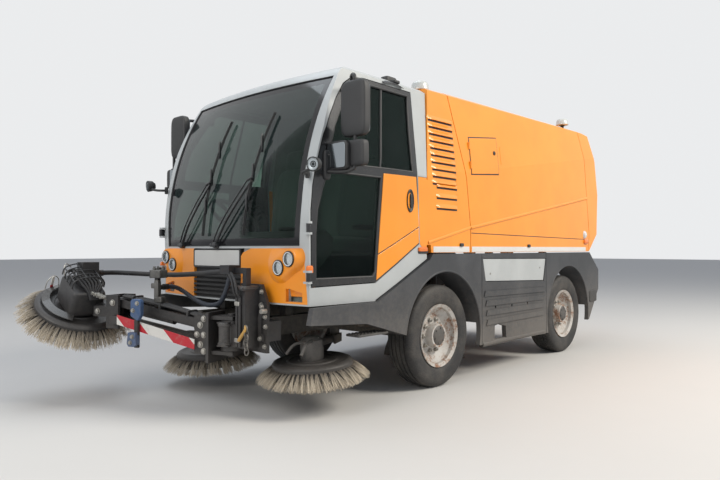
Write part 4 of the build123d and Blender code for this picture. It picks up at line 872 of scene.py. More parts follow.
@dataclass
class Wheel:
    """One wheel's tyre with its tread, and the nuts and hub cap on its rim."""

    name: str
    side: Side
    y: float
    ribbed: bool
    track_half: float = 711.0
    outer: float = WHEEL_RADIUS
    crown_half: float = 78.0
    crown_drop: float = 0.0007
    groove_depth: float = 9.0
    blocks: int = 60
    slot_share: float = 0.16
    lug_depth: float = 4.0
    bolt_circle: float = 118.0
    cap_circle: float = 56.0

    @property
    def body(self) -> str:
        """The body that the wheel belongs to."""
        return f"wheel_{self.name}"

    @property
    def centre(self) -> np.ndarray:
        """The wheel's centre."""
        return np.array((self.track_half * self.side.value, self.y, self.outer))

    def tyre(self) -> Shape:
        """The tyre: a closed section turned about the axle, with the tread's grooves cut from its radius."""
        wall = smooth_path([(223, 88), (238, 92), (262, 104), (300, 110.5), (334, 110.8), (357, 105),
                            (370, 95), (377, 84)], 26)
        across = np.linspace(self.crown_half, -self.crown_half, 80)
        crown = np.stack((self.outer - self.crown_drop * across**2, across), 1)
        inner = np.array([(223, -60), (223, 60)])
        section = np.vstack((wall, crown, wall[::-1] * (1, -1), inner))
        radius, width = section.T
        angle = np.linspace(0, 2 * np.pi, 180 if self.ribbed else 300, endpoint=False)[None, :]
        on_crown = (np.abs(width) <= self.crown_half + 1) & (radius > 300)

        def beside(places: Sequence[float], reach: float) -> np.ndarray:
            """Whether each point of the section lies nearer to one of the places than the reach."""
            return (np.min(np.abs(width[:, None] - np.array(places)[None]), 1) < reach)[:, None]

        if self.ribbed:
            cut = beside((-56.0, -19.0, 19.0, 56.0), 4.6) * np.ones_like(angle)
            lugs = 0.0
        else:
            turns = self.blocks * angle / (2 * np.pi)
            wave = turns + 0.25 * np.sin(width / 17.0)[:, None]
            lanes = (wave % 1.0 < self.slot_share) & (np.abs(width) > 2)[:, None]
            cut = beside((-34.0, 0.0, 34.0), 4.0) | lanes
            edge = (np.abs(width) > self.crown_half) & (radius > 366)
            lugs = edge[:, None] * (turns % 1.0 < self.slot_share)
        radius = radius[:, None] - self.groove_depth * cut * on_crown[:, None] - self.lug_depth * lugs
        around = np.stack((0 * angle, np.cos(angle), np.sin(angle)), -1)
        points = self.centre + width[:, None, None] * X_AXIS + radius[..., None] * around
        return surface(points, wrap_u=True, wrap_v=True)

    def circle(self, radius: float, count: int, first: float = 0.0) -> np.ndarray:
        """Places evenly round the axle: the centre plus radius * (0, cos a, sin a)."""
        angle = np.linspace(0, 2 * np.pi, count, endpoint=False) + first
        return self.centre + radius * np.stack((0 * angle, np.cos(angle), np.sin(angle)), 1)

    def dress(self) -> None:
        """Makes the tyre, and the nuts, studs and cap on the rim."""
        put(f"tread_tyre_{self.name}", self.tyre(), Look.TYRE, self.body, replaces=[f"tyre_{self.name}"],
            sharp=30)
        out = X_AXIS * self.side.value
        circle = self.circle(self.bolt_circle, 10) + out * 29
        nuts = bolt(out, 15.0, 20.0).at(circle) + bolt(out, 8.0, 30.0).at(circle)
        put(f"wheel_nuts_{self.name}", nuts, Look.ZINC, self.body)
        dome = [(0, 104), (40, 103), (66, 98), (76, 90), (79, 78), (79, 40), (90, 36), (90, 30), (0, 30)]
        cap = lathe(dome, self.centre, out, 40)
        cap += bolt(out, 7.0, 6.0).at(self.circle(self.cap_circle, 6, 0.3) + out * 99)
        put(f"hub_cap_{self.name}", cap, Look.GREY_STEEL, self.body)


# The brooms

@dataclass
class Broom:
    """A broom: its ribbed disc and several rings of bristle tufts that flare outwards and down.

    Its node and its body have the broom's own name.
    """

    name: str
    centre: np.ndarray
    axis: np.ndarray
    side: np.ndarray
    disc_radius: float
    tip_radius: float
    tufts: int
    seed: int
    bristle_height: float = 148.0
    strands_per_tuft: int = 13
    strand_width: float = 3.4
    rings: tuple[float, ...] = (-70.0, -38.0, -8.0)
    inner_inset: float = 62.0
    inner_lift: float = 26.0
    tuft_lean: float = 0.05
    root_scatter: float = 0.014
    tip_scatter: float = 0.035
    stations: int = 5

    def disc(self) -> Shape:
        """The disc with its rolled rim and stiffening ribs, turned about the axis."""
        r = self.disc_radius
        profile = [(41, -1), (70, 0), (76, 5), (88, 5), (94, 0), (r * 0.55, 0), (r * 0.57, 5), (r * 0.62, 5),
                   (r * 0.64, 0), (r - 44, 0), (r - 38, 4), (r - 26, 4), (r - 8, -4), (r, -14), (r, -34),
                   (r - 6, -40), (r - 12, -34), (r - 16, -22), (41, -26)]
        return lathe(profile, HERE, Z_AXIS, 96, closed=True)

    def core(self) -> Shape:
        """The dark mass of bristle roots under the disc, turned about the axis."""
        r, t, h = self.disc_radius, self.tip_radius, self.bristle_height
        profile = [(r - 95, -26), (r - 14, -30), ((r + t) / 2 - 26, -h * 0.6), ((r + t) / 2 - 56, -h * 0.66),
                   (r - 95, -60)]
        return lathe(profile, HERE, Z_AXIS, 72, closed=True)

    def bristles(self) -> tuple[Shape, dict[str, np.ndarray]]:
        """The strands, each a thin three-sided spike from its root to its tip.

        Along a strand t runs from 0 to 1: its radius grows as t to the power 0.85 and its height falls as t
        to the power 1.2, and its angle turns evenly to a place of its own.

        Returns:
            The shape, and for each point how far along its strand it is and the strand's own shade.
        """
        rng = np.random.default_rng(self.seed)
        tuft = np.arange(self.tufts * len(self.rings))
        ring = np.asarray(self.rings)[tuft % len(self.rings)]
        place = 2 * np.pi * (tuft + rng.uniform(-0.3, 0.3, len(tuft))) / len(tuft)
        count = len(tuft) * self.strands_per_tuft
        ring, place = np.repeat(ring, self.strands_per_tuft), np.repeat(place, self.strands_per_tuft)
        lean = np.repeat(rng.normal(0, self.tuft_lean, len(tuft)), self.strands_per_tuft)
        root_angle = place + rng.normal(0, self.root_scatter, count)
        tip_angle = root_angle + lean + rng.normal(0, self.tip_scatter, count)
        root_radius = self.disc_radius + ring + rng.uniform(-7, 7, count)
        depth = (ring - min(self.rings)) / (max(self.rings) - min(self.rings))
        tip_radius = self.tip_radius - self.inner_inset * (1 - depth) - rng.uniform(2, 34, count)
        tip_height = -self.bristle_height + self.inner_lift * depth + rng.uniform(0, 22, count)
        t = np.linspace(0, 1, self.stations)[None, :]
        radius = root_radius[:, None] + (tip_radius - root_radius)[:, None] * t**0.85
        height = -30 + (tip_height + 30)[:, None] * t**1.2
        angle = root_angle[:, None] + (tip_angle - root_angle)[:, None] * t
        line = np.stack((radius * np.cos(angle), radius * np.sin(angle), height), -1)
        outward = np.stack((np.cos(angle), np.sin(angle), 0.4 + 0 * angle), -1)
        across = np.stack((-np.sin(angle), np.cos(angle), 0 * angle), -1)
        width = (self.strand_width / 2 * (1.0 - 0.35 * t))[..., None]
        corners = np.stack((line + across * width, line - across * width, line + outward * width * 0.8), 2)
        points = corners.reshape(-1, 3)
        i, j = np.arange(self.stations - 1)[:, None], np.arange(3)[None, :]
        side = np.stack((i * 3 + j, i * 3 + (j + 1) % 3, (i + 1) * 3 + (j + 1) % 3, (i + 1) * 3 + j), -1)
        last = (self.stations - 1) * 3
        first = (np.arange(count) * self.stations * 3)[:, None, None]
        quads = (first + side.reshape(-1, 4)[None]).reshape(-1, 4)
        ends = np.array([(2, 1, 0), (last, last + 1, last + 2)])
        caps = (first + ends[None]).reshape(-1, 3)
        marks = {"along": np.broadcast_to(t[..., None], (count, self.stations, 3)).reshape(-1),
                 "shade": np.repeat(rng.uniform(0, 1, count), self.stations * 3)}
        return Shape(points, (quads, caps)), marks

    def dress(self) -> None:
        """Makes the disc, the roots and the bristles."""
        pose = (self.centre, self.side, self.axis)
        put(f"{self.name}_disc", self.disc().framed(*pose), Look.BROOM_BLACK, self.name,
            [self.name])
        put(f"{self.name}_roots", self.core().framed(*pose), Look.TRIM, self.name)
        strands, marks = self.bristles()
        put(f"{self.name}_bristles", strands.framed(*pose), Look.BRISTLE, self.name, merge=False, marks=marks,
            sharp=80)
        angle = np.linspace(0, 2 * np.pi, 6, endpoint=False) + 0.2
        heads = bolt(Z_AXIS, 9.0).at(arc(60, angle, 1)).framed(*pose)
        put(f"{self.name}_bolts", heads, Look.ZINC, self.name)


def leaning(degrees: float) -> tuple[np.ndarray, np.ndarray]:
    """An upright axis tipped towards the left, and the direction square to it that pointed left."""
    angle = np.radians(degrees)
    return np.array((np.sin(angle), 0.0, np.cos(angle))), np.array((np.cos(angle), 0.0, -np.sin(angle)))


def circle_through(a: Sequence[float], b: Sequence[float], c: Sequence[float]) -> tuple[float, float, float]:
    """The centre and radius of the circle through three points, from the two equal-distance equations."""
    a, b, c = (np.asarray(p, float) for p in (a, b, c))
    rows = 2 * np.stack((b - a, c - a))
    centre = np.linalg.solve(rows, np.array([b @ b - a @ a, c @ c - a @ a]))
    return centre[0], centre[1], float(np.linalg.norm(a - centre))


# The cab

@dataclass
class CabForm:
    """The cab's outer form: the windscreen's double curve and the sides' taper and lean."""

    front: float = -1395.0
    screen_low: float = 1045.0
    screen_middle: tuple[float, float] = (-1352.0, 1550.0)
    screen_high: tuple[float, float] = (-1120.0, 2120.0)
    bulge_radius: float = 5000.0
    body_half: float = BODY_HALF
    front_half: float = 812.0
    belt: float = 1560.0
    top: float = 2185.0
    top_half: float = 765.0
    taper_start: float = -560.0

    def screen_y(self, x: np.ndarray, z: np.ndarray) -> np.ndarray:
        """The windscreen's outer face: a side-view arc turned about a far upright axis."""
        cy, cz, r = circle_through((self.front, self.screen_low), self.screen_middle, self.screen_high)
        axis_y = self.front + self.bulge_radius
        middle = cy - np.sqrt(r**2 - (z - cz) ** 2)
        return axis_y - np.sqrt((axis_y - middle) ** 2 - x**2)

    def side_x(self, y: np.ndarray, z: np.ndarray) -> np.ndarray:
        """The side's face: the lesser of the plan's taper and the lean above the belt."""
        taper = (self.body_half - self.front_half) / (self.taper_start - self.front)
        plan = self.body_half - np.maximum(0, self.taper_start - y) * taper
        lean = self.body_half - np.maximum(0, z - self.belt) * (
            (self.body_half - self.top_half) / (self.top - self.belt))
        return np.minimum(plan, lean)


@dataclass
class Cab:
    """The windscreen, wipers, lamps, plate and roof fittings of the cab."""

    form: CabForm = field(default_factory=CabForm)
    screen_heights: tuple[float, ...] = (1048.0, 1300.0, 1560.0, 2128.0)
    screen_halves: tuple[float, ...] = (740.0, 752.0, 752.0, 745.0)
    glass_depth: float = 10.0
    glass_thickness: float = 6.0
    wiper_foot: float = 1058.0
    wiper_rise: float = 470.0
    blade_foot: float = 1120.0
    blade_length: float = 800.0
    lamp_places: tuple[tuple[float, float, float], ...] = ((696.0, -1392.0, 971.0), (601.0, -1392.0, 917.0))
    lamp_face: float = -1386.0
    plate_box: tuple[float, float, float, float] = (-314.0, 220.0, 908.0, 1031.0)

    def at_height(self, v: np.ndarray, u: np.ndarray) -> tuple[np.ndarray, np.ndarray, np.ndarray]:
        """The windscreen's x, z and half width where v runs 0 to 1 upwards and u runs -1 to 1 across."""
        z = self.screen_heights[0] + v * (self.screen_heights[-1] - self.screen_heights[0])
        half = np.interp(z, self.screen_heights, self.screen_halves)
        return u * half, z, half

    def windscreen(self) -> None:
        """The bent pane, a grid on the form's curve set back by the glass's depth, and its seal."""
        v, u = np.meshgrid(np.linspace(0, 1, 41), np.linspace(-1, 1, 61), indexing="ij")
        x, z, half = self.at_height(v, u)
        y = self.form.screen_y(x, z) + self.glass_depth
        pane = sheet_of(np.stack((x, y, z), -1), (0, self.glass_thickness, 0))
        edge = np.minimum(half - np.abs(x), np.minimum(z - z.min(), z.max() - z)) * MILLIMETRE
        marks = {"edge": np.concatenate((edge, edge[::-1])).reshape(-1)}
        put("bent_windscreen", pane, Look.SCREEN, replaces=["windscreen"], merge=False, marks=marks)
        corners = rectangle(-1, 1, 0, 1)
        loop = np.concatenate([np.linspace(a, b, 30, endpoint=False)
                               for a, b in zip(corners, np.roll(corners, -1, 0))])
        x, z, _ = self.at_height(loop[:, 1], loop[:, 0])
        put("windscreen_seal", loop_tube(np.stack((x, self.form.screen_y(x, z) + 8, z), 1), 7.0), Look.TRIM)

    def on_screen(self, x: float, z: float, lift: float) -> np.ndarray:
        """A place in front of the windscreen."""
        return np.array((x, float(self.form.screen_y(np.array(x), np.array(z))) - lift, z))

    def wipers(self) -> None:
        """Two pantograph wipers: twin arms from the scuttle, and a bowed blade on each."""
        parts, blades = [], []
        for x0, x1 in ((-470.0, -60.0), (-20.0, 390.0)):

            def arm(shift: float, t: float) -> np.ndarray:
                """A place on an arm, from its foot at t = 0 towards the blade."""
                return self.on_screen(x0 + shift + (x1 - x0) * t, self.wiper_foot + self.wiper_rise * t, 30)

            def blade(t: float, lift: float) -> np.ndarray:
                """A place on the blade, from its low end at t = 0 to its high end at t = 1."""
                x = x0 + (x1 - x0) * 0.85 + (x1 - x0) * 0.25 * (t - 0.5)
                return self.on_screen(x, self.blade_foot + self.blade_length * t, lift)

            for shift, radius in ((0.0, 8.0), (-46.0, 5.0)):
                start = self.on_screen(x0 + shift, self.wiper_foot, 16)
                parts.append(pipe([start] + [arm(shift, t) for t in (0.3, 0.6, 0.88)], 14, radius, 8))
            parts.append(lathe([(0, -34), (20, -32), (24, -20), (24, 10), (0, 10)],
                               self.on_screen(x0, self.wiper_foot, 0), Y_AXIS, 20))
            parts.append(lathe([(0, -26), (13, -25), (15, 8), (0, 8)],
                               self.on_screen(x0 - 46, self.wiper_foot, 0), Y_AXIS, 16))
            parts.append(bar(self.on_screen(x0 - 46 + (x1 - x0) * 0.88, 1472, 30),
                             self.on_screen(x0 + (x1 - x0) * 0.9, 1490, 30), 9, 10))
            parts += [soft_box(blade(t, 21), (8, 10, 60), 0.5, 9, 12) for t in (0.26, 0.5, 0.74)]
            ends = [blade(t, 12 + 7 * (t * (1 - t))) for t in np.linspace(0, 1, 9)]
            blades.append(pipe(ends, 24, 6.5, 6))
            blades.append(pipe([e - (0, 12, 0) for e in ends], 24, 4.0, 6))
        put("wiper_arms", joined(parts), Look.GLOSS_BLACK, replaces=["wipers"])
        put("wiper_blades", joined(blades), Look.TRIM)

    def lamp_swells(self) -> None:
        """The panel's swelling round each pair of lamps.

        Its face runs from the panel's curve to a flat one by the weight w = k * k * (3 - 2 * k), where k
        falls from 1 beside the line between the two lamps to 0 at the reach, which shrinks towards the door.
        """
        z, x = np.meshgrid(np.linspace(742, 1032, 49), np.linspace(424, 794, 61), indexing="ij")
        (outer_x, _, outer_z), (inner_x, _, inner_z) = self.lamp_places
        run, rise = outer_x - inner_x, outer_z - inner_z
        along = np.clip(((x - inner_x) * run + (z - inner_z) * rise) / (run**2 + rise**2), 0, 1)
        away = np.hypot(x - inner_x - run * along, z - inner_z - rise * along)
        reach = np.interp(x, (520, 700), (172, 98))
        k = np.clip((reach - away) / (reach - 54), 0, 1)
        weight = k * k * (3 - 2 * k)
        y = (1 - weight) * (self.form.screen_y(x, z) + 3) + self.lamp_face * weight
        put("lamp_swells", sheet_of(np.stack((x, y, z), -1), (0, 40, 0)).both(), Look.ORANGE)

    def lamps(self) -> None:
        """The four round front lamps, of black cup, reflector and domed lens, and two amber repeaters."""
        cup = lathe([(0, 14), (42, 14), (42, -3), (45, -5), (48, -2), (48, 8), (44, 20), (0, 20)], HERE,
                    Y_AXIS, 40)
        put("lamp_cups", cup.at(self.lamp_places).both(), Look.TRIM)
        mirror = lathe([(0, 2), (14, 2), (15, -2), (17, -2), (18, 3), (26, 2), (40, -4), (42, -4), (42, 3),
                        (26, 8), (0, 8)], HERE, Y_AXIS, 40)
        put("lamp_reflectors", mirror.at(self.lamp_places).both(), Look.REFLECTOR)
        dome = lathe([(0, -12), (16, -11), (30, -8), (40, -3), (40, -1), (30, -6), (16, -9), (0, -10)], HERE,
                     Y_AXIS, 40)
        glass = put("lamp_domes", dome.at(self.lamp_places).both(), Look.LAMP_GLASS)
        glass.visible_shadow = False
        turn = soft_box((0, 0, 0), (11, 24, 26), 0.5, 11, 20)
        put("repeaters", turn.at([(824, -1336, 908)]).both(), Look.AMBER)

    def plate(self) -> None:
        """The blank plate in its holder with a raised rim, and the dark grille under it."""
        x0, x1, z0, z1 = self.plate_box
        face = front_plate(rectangle(x0 + 8, x1 - 8, z0 + 8, z1 - 8, 8), -1387, -1383)
        put("blank_plate", face, Look.PLATE, bevel=1.0)
        rim = rectangle(x0, x1, z0, z1, 12)
        put("plate_rim", loop_tube(np.stack((rim[:, 0], 0 * rim[:, 0] - 1387, rim[:, 1]), 1), 6.0), Look.TRIM)
        slats = [front_plate(rectangle(-316, 228, z, z + 14, 5), -1376, -1362) for z in range(722, 872, 30)]
        put("air_slats", joined(slats), Look.TRIM)

    def roof(self) -> None:
        """The bracket and the small visor on the roof's left edge."""
        clamp = soft_box((690, -450, 2222), (34, 60, 30), 0.4)
        clamp += soft_box((742, -450, 2206), (30, 34, 12), 0.4)
        put("roof_bracket", clamp, Look.TRIM)
        grid_v, grid_u = np.meshgrid(np.linspace(-105, 105, 9), np.linspace(0, 62, 5), indexing="ij")
        visor = np.stack((724 + grid_u, -505 + grid_v, 2204 - 0.006 * grid_u**2 - 0.0014 * grid_v**2), -1)
        put("roof_visor", sheet_of(visor, (0, 0, -5)), Look.MOULDING)

    def work_lamps(self) -> None:
        """Round work lamps on short brackets beside the windscreen's pillars."""
        centre, aim = (925.0, -1392.0, 1516.0), unit((0.25, -1.0, -0.1))
        pose = (centre, aim, 32)
        pot = lathe([(0, 38), (22, 36), (38, 18), (42, -6), (43, -20), (38, -24), (36, -16), (0, -14)],
                    centre, -aim, 32)
        put("work_lamp_pots", pot.both(), Look.TRIM)
        dish = lathe([(0, 14), (10, 14), (12, 19), (14, 14), (30, 17), (36, 21), (36, 12), (0, 10)], *pose)
        put("work_lamp_dishes", dish.both(), Look.REFLECTOR)
        lens = lathe([(0, 29), (24, 27), (37, 22), (37, 20), (24, 25), (0, 27)], *pose)
        put("work_lamp_lenses", lens.both(), Look.LAMP_GLASS)
        arm = pipe([(796, -1328, 1478), (800, -1366, 1476), (830, -1392, 1478), (880, -1398, 1488),
                    (918, -1376, 1506)], 20, 9, 8)
        arm += soft_box((796, -1328, 1478), (12, 12, 28), 0.4, 9, 16)
        put("work_lamp_arms", arm.both(), Look.TRIM)

    def dress(self) -> None:
        """Makes every piece of the cab's outside."""
        self.windscreen()
        self.wipers()
        self.lamp_swells()
        self.lamps()
        self.plate()
        self.roof()
        self.work_lamps()


@dataclass
class Door:
    """One door's panel, handle, window trims and mirrors."""

    side: Side
    form: CabForm = field(default_factory=CabForm)

    @property
    def body(self) -> str:
        """The door's body."""
        return f"door_{self.side.word}"

    def fit(self, name: str, shape: Shape, look: Look, replaces: Sequence[str] = (),
            bevel: float = 0.0) -> None:
        """Puts a left-hand shape on this door's side, with the side's word after its name."""
        put(f"{name}_{self.side.word}", shape.on(self.side), look, self.body, replaces=replaces, bevel=bevel)

    def patch(self, outline_low: Sequence[Sequence[float]], outline_high: Sequence[Sequence[float]],
              lift: float, thickness: float) -> Shape:
        """A sheet on the cab's side between two lines of (y, z), lifted off the side's face."""
        low, high = np.asarray(outline_low, float), np.asarray(outline_high, float)
        s = np.linspace(0, 1, 24)[:, None]
        t = np.linspace(0, 1, 16)[None, :]
        span = np.linspace(0, 1, len(low))
        lo = np.stack([np.interp(s[:, 0], span, low[:, k]) for k in range(2)], -1)
        hi = np.stack([np.interp(s[:, 0], span, high[:, k]) for k in range(2)], -1)
        yz = lo[:, None] + (hi - lo)[:, None] * t[..., None]
        x = self.form.side_x(yz[..., 0], yz[..., 1]) + lift
        return sheet_of(np.stack((x, yz[..., 0], yz[..., 1]), -1), (-thickness, 0, 0))

    def panel(self) -> None:
        """The orange rear panel with the crease across it, and the oval handle recess."""
        upper = self.patch([(-743, 1000), (-310, 1190)], [(-690, 1533), (-343, 1538)], 4, 7)
        lower = self.patch([(-759, 826), (-309, 1074)], [(-744, 992), (-311, 1182)], 2, 6)
        self.fit("door_panel", upper + lower, Look.ORANGE, bevel=2.5)
        y, z = -414.0, 1366.0
        x = float(self.form.side_x(y, z))
        dish = lathe([(0, -3), (24, -2), (31, 4), (35, 8), (38, 6), (38, 0), (0, -6)], HERE, Z_AXIS, 40)
        dish = dish.scaled((1.0, 2.1, 1.0)).framed((x + 4, y, z), Y_AXIS, X_AXIS)
        grip = soft_box((x + 8, y + 6, z), (7, 11, 52), 0.6)
        self.fit("door_handle", dish + grip, Look.TRIM)

    def trims(self) -> None:
        """The rubbers round both panes, and the window divider."""
        low_pane = [(-1280, 850), (-1280, 1117), (-1267, 1266), (-1222, 1411), (-1178, 1505), (-712, 1505),
                    (-731, 1291), (-766, 880), (-790, 850), (-1280, 850)]
        high_pane = [(-1196, 1560), (-1123, 1790), (-1008, 1985), (-915, 2100), (-860, 2122), (-345, 2122),
                     (-368, 1840), (-378, 1570), (-1196, 1560)]

        def on_side(line: np.ndarray, depth: float) -> np.ndarray:
            """A line of (y, z) carried onto the side's face and sunk by the depth."""
            return np.stack((self.form.side_x(line[:, 0], line[:, 1]) - depth, line[:, 0], line[:, 1]), 1)

        parts = []
        for outline in (np.array(low_pane, float), np.array(high_pane, float)):
            edges = zip(outline, outline[1:])
            line = np.concatenate([np.linspace(a, b, 8, endpoint=False) for a, b in edges])
            parts.append(loop_tube(on_side(line, 6), 8.0))
        parts.append(tube(on_side(np.linspace((-714, 1566), (-624, 2118), 8), 11), 9.0, 8))
        self.fit("window_rubbers", joined(parts), Look.TRIM)

    def mirrors(self) -> None:
        """The tall mirror and the wide one under it: rounded housings on a bent tube, glass to the rear."""
        shift = np.array((0.0, 0.0, 0.0) if self.side is Side.LEFT else (-70.0, 0.0, 62.0))
        tall = soft_box(shift + (1000, -1130, 1868), (100, 34, 168), 0.36, 21, 40)
        wide = soft_box((1006, -1132, 1600), (84, 30, 78), 0.3, 17, 36)
        near = soft_box((902, -1172, 1590), (88, 22, 88), 0.34, 17, 36)
        self.fit("mirror_housings", tall + wide + near, Look.TRIM, [f"mirrors_{self.side.word}"])
        glass = [prism(rectangle(-86, 86, -150, 150, 26), shift + (1000, -1094, 1868), -X_AXIS, Z_AXIS, 4),
                 prism(rectangle(-70, 70, -64, 64, 20), (1006, -1100, 1600), -X_AXIS, Z_AXIS, 4),
                 prism(rectangle(-74, 74, -74, 74, 16), (902, -1196, 1590), X_AXIS, Z_AXIS, 4)]
        self.fit("mirror_glass", joined(glass), Look.MIRROR, bevel=0.8)
        top = float(self.form.side_x(-955.0, 2060.0))
        foot = float(self.form.side_x(-1195.0, 1535.0))
        route = [(top - 12, -955, 2060), (top + 30, -958, 2064), (940, -1100, 2074), (1000, -1140, 2060),
                 (1006, -1140, 1960), (1006, -1140, 1560), (990, -1150, 1505), (930, -1178, 1490),
                 (foot - 12, -1195, 1500)]
        arms = pipe(route, 60, 12, 12)
        arms += bar((foot - 6, -1195, 1600), (930, -1170, 1600), 9, 10)
        arms += soft_box((top - 4, -958, 2060), (18, 40, 34), 0.4)
        arms += soft_box((foot, -1195, 1540), (16, 26, 90), 0.4)
        self.fit("mirror_arms", arms, Look.TRIM)

    def dress(self) -> None:
        """Makes every piece of the door."""
        self.panel()
        self.trims()
        self.mirrors()


@dataclass
class Interior:
    """The two seats with their arm rests and head restraints."""

    seat_places: tuple[float, ...] = (-385.0, 385.0)
    base_half: float = 185.0
    arm_rest_out: float = 255.0
    full: float = 0.8
    head_full: float = 0.7

    def cushion(self, centre: Sequence[float], half: Sequence[float], power: float, crown: float,
                channels: int) -> Shape:
        """A crowned pad: a round-edged box whose top swells by the crown, with sewn channels across it."""
        pad = soft_box((0, 0, 0), half, power, 41, 64)
        x, y, z = (pad.points / np.asarray(half, float)).T
        swell = (1 - x**2).clip(0) * (1 - y**2).clip(0)
        sewn = np.cos(x * np.pi * channels) ** 16 * (1 - y**2).clip(0) * 0.35
        points = pad.points + np.stack((0 * x, 0 * x, np.sign(z) * (z > 0) * crown * (swell - sewn)), 1)
        return Shape(points + np.asarray(centre, float), pad.faces)

    def dress(self) -> None:
        """Makes the pads, backs and head restraints, and the pedestals, posts and arm rests."""
        bases = []
        for number, x in enumerate(self.seat_places):
            box = rectangle(-880, -470, 730, 985, 20)
            bases.append(side_plate(box, x - self.base_half, x + self.base_half))
            pan = self.cushion((x, -675, 1048), (232, 250, 58), 0.42, 16, 2)
            stands_for = ["seats"] if number == 0 else []
            put(f"seat_pad_{number}", pan, Look.CLOTH, replaces=stands_for)
            back = self.cushion((0, 0, 0), (215, 300, 52), 0.42, 18, 2)
            back = back.framed((x, -402, 1400), X_AXIS, unit((0, -1.0, 0.17)))
            put(f"seat_back_{number}", back, Look.CLOTH)
            head = self.cushion((0, 0, 0), (125, 85, 40), 0.5, 8, 0.5)
            head = head.framed((x, -352, 1765), X_AXIS, unit((0, -1.0, 0.12)))
            put(f"head_rest_{number}", head, Look.CLOTH)
            for shift in (-60, 60):
                bases.append(bar((x + shift, -362, 1670), (x + shift, -352, 1740), 7, 10))
            bases.append(soft_box((x + self.arm_rest_out, -640, 1180), (24, 130, 20), 0.5, 13, 24))
        put("seat_bases", joined(bases), Look.TRIM)


# The body

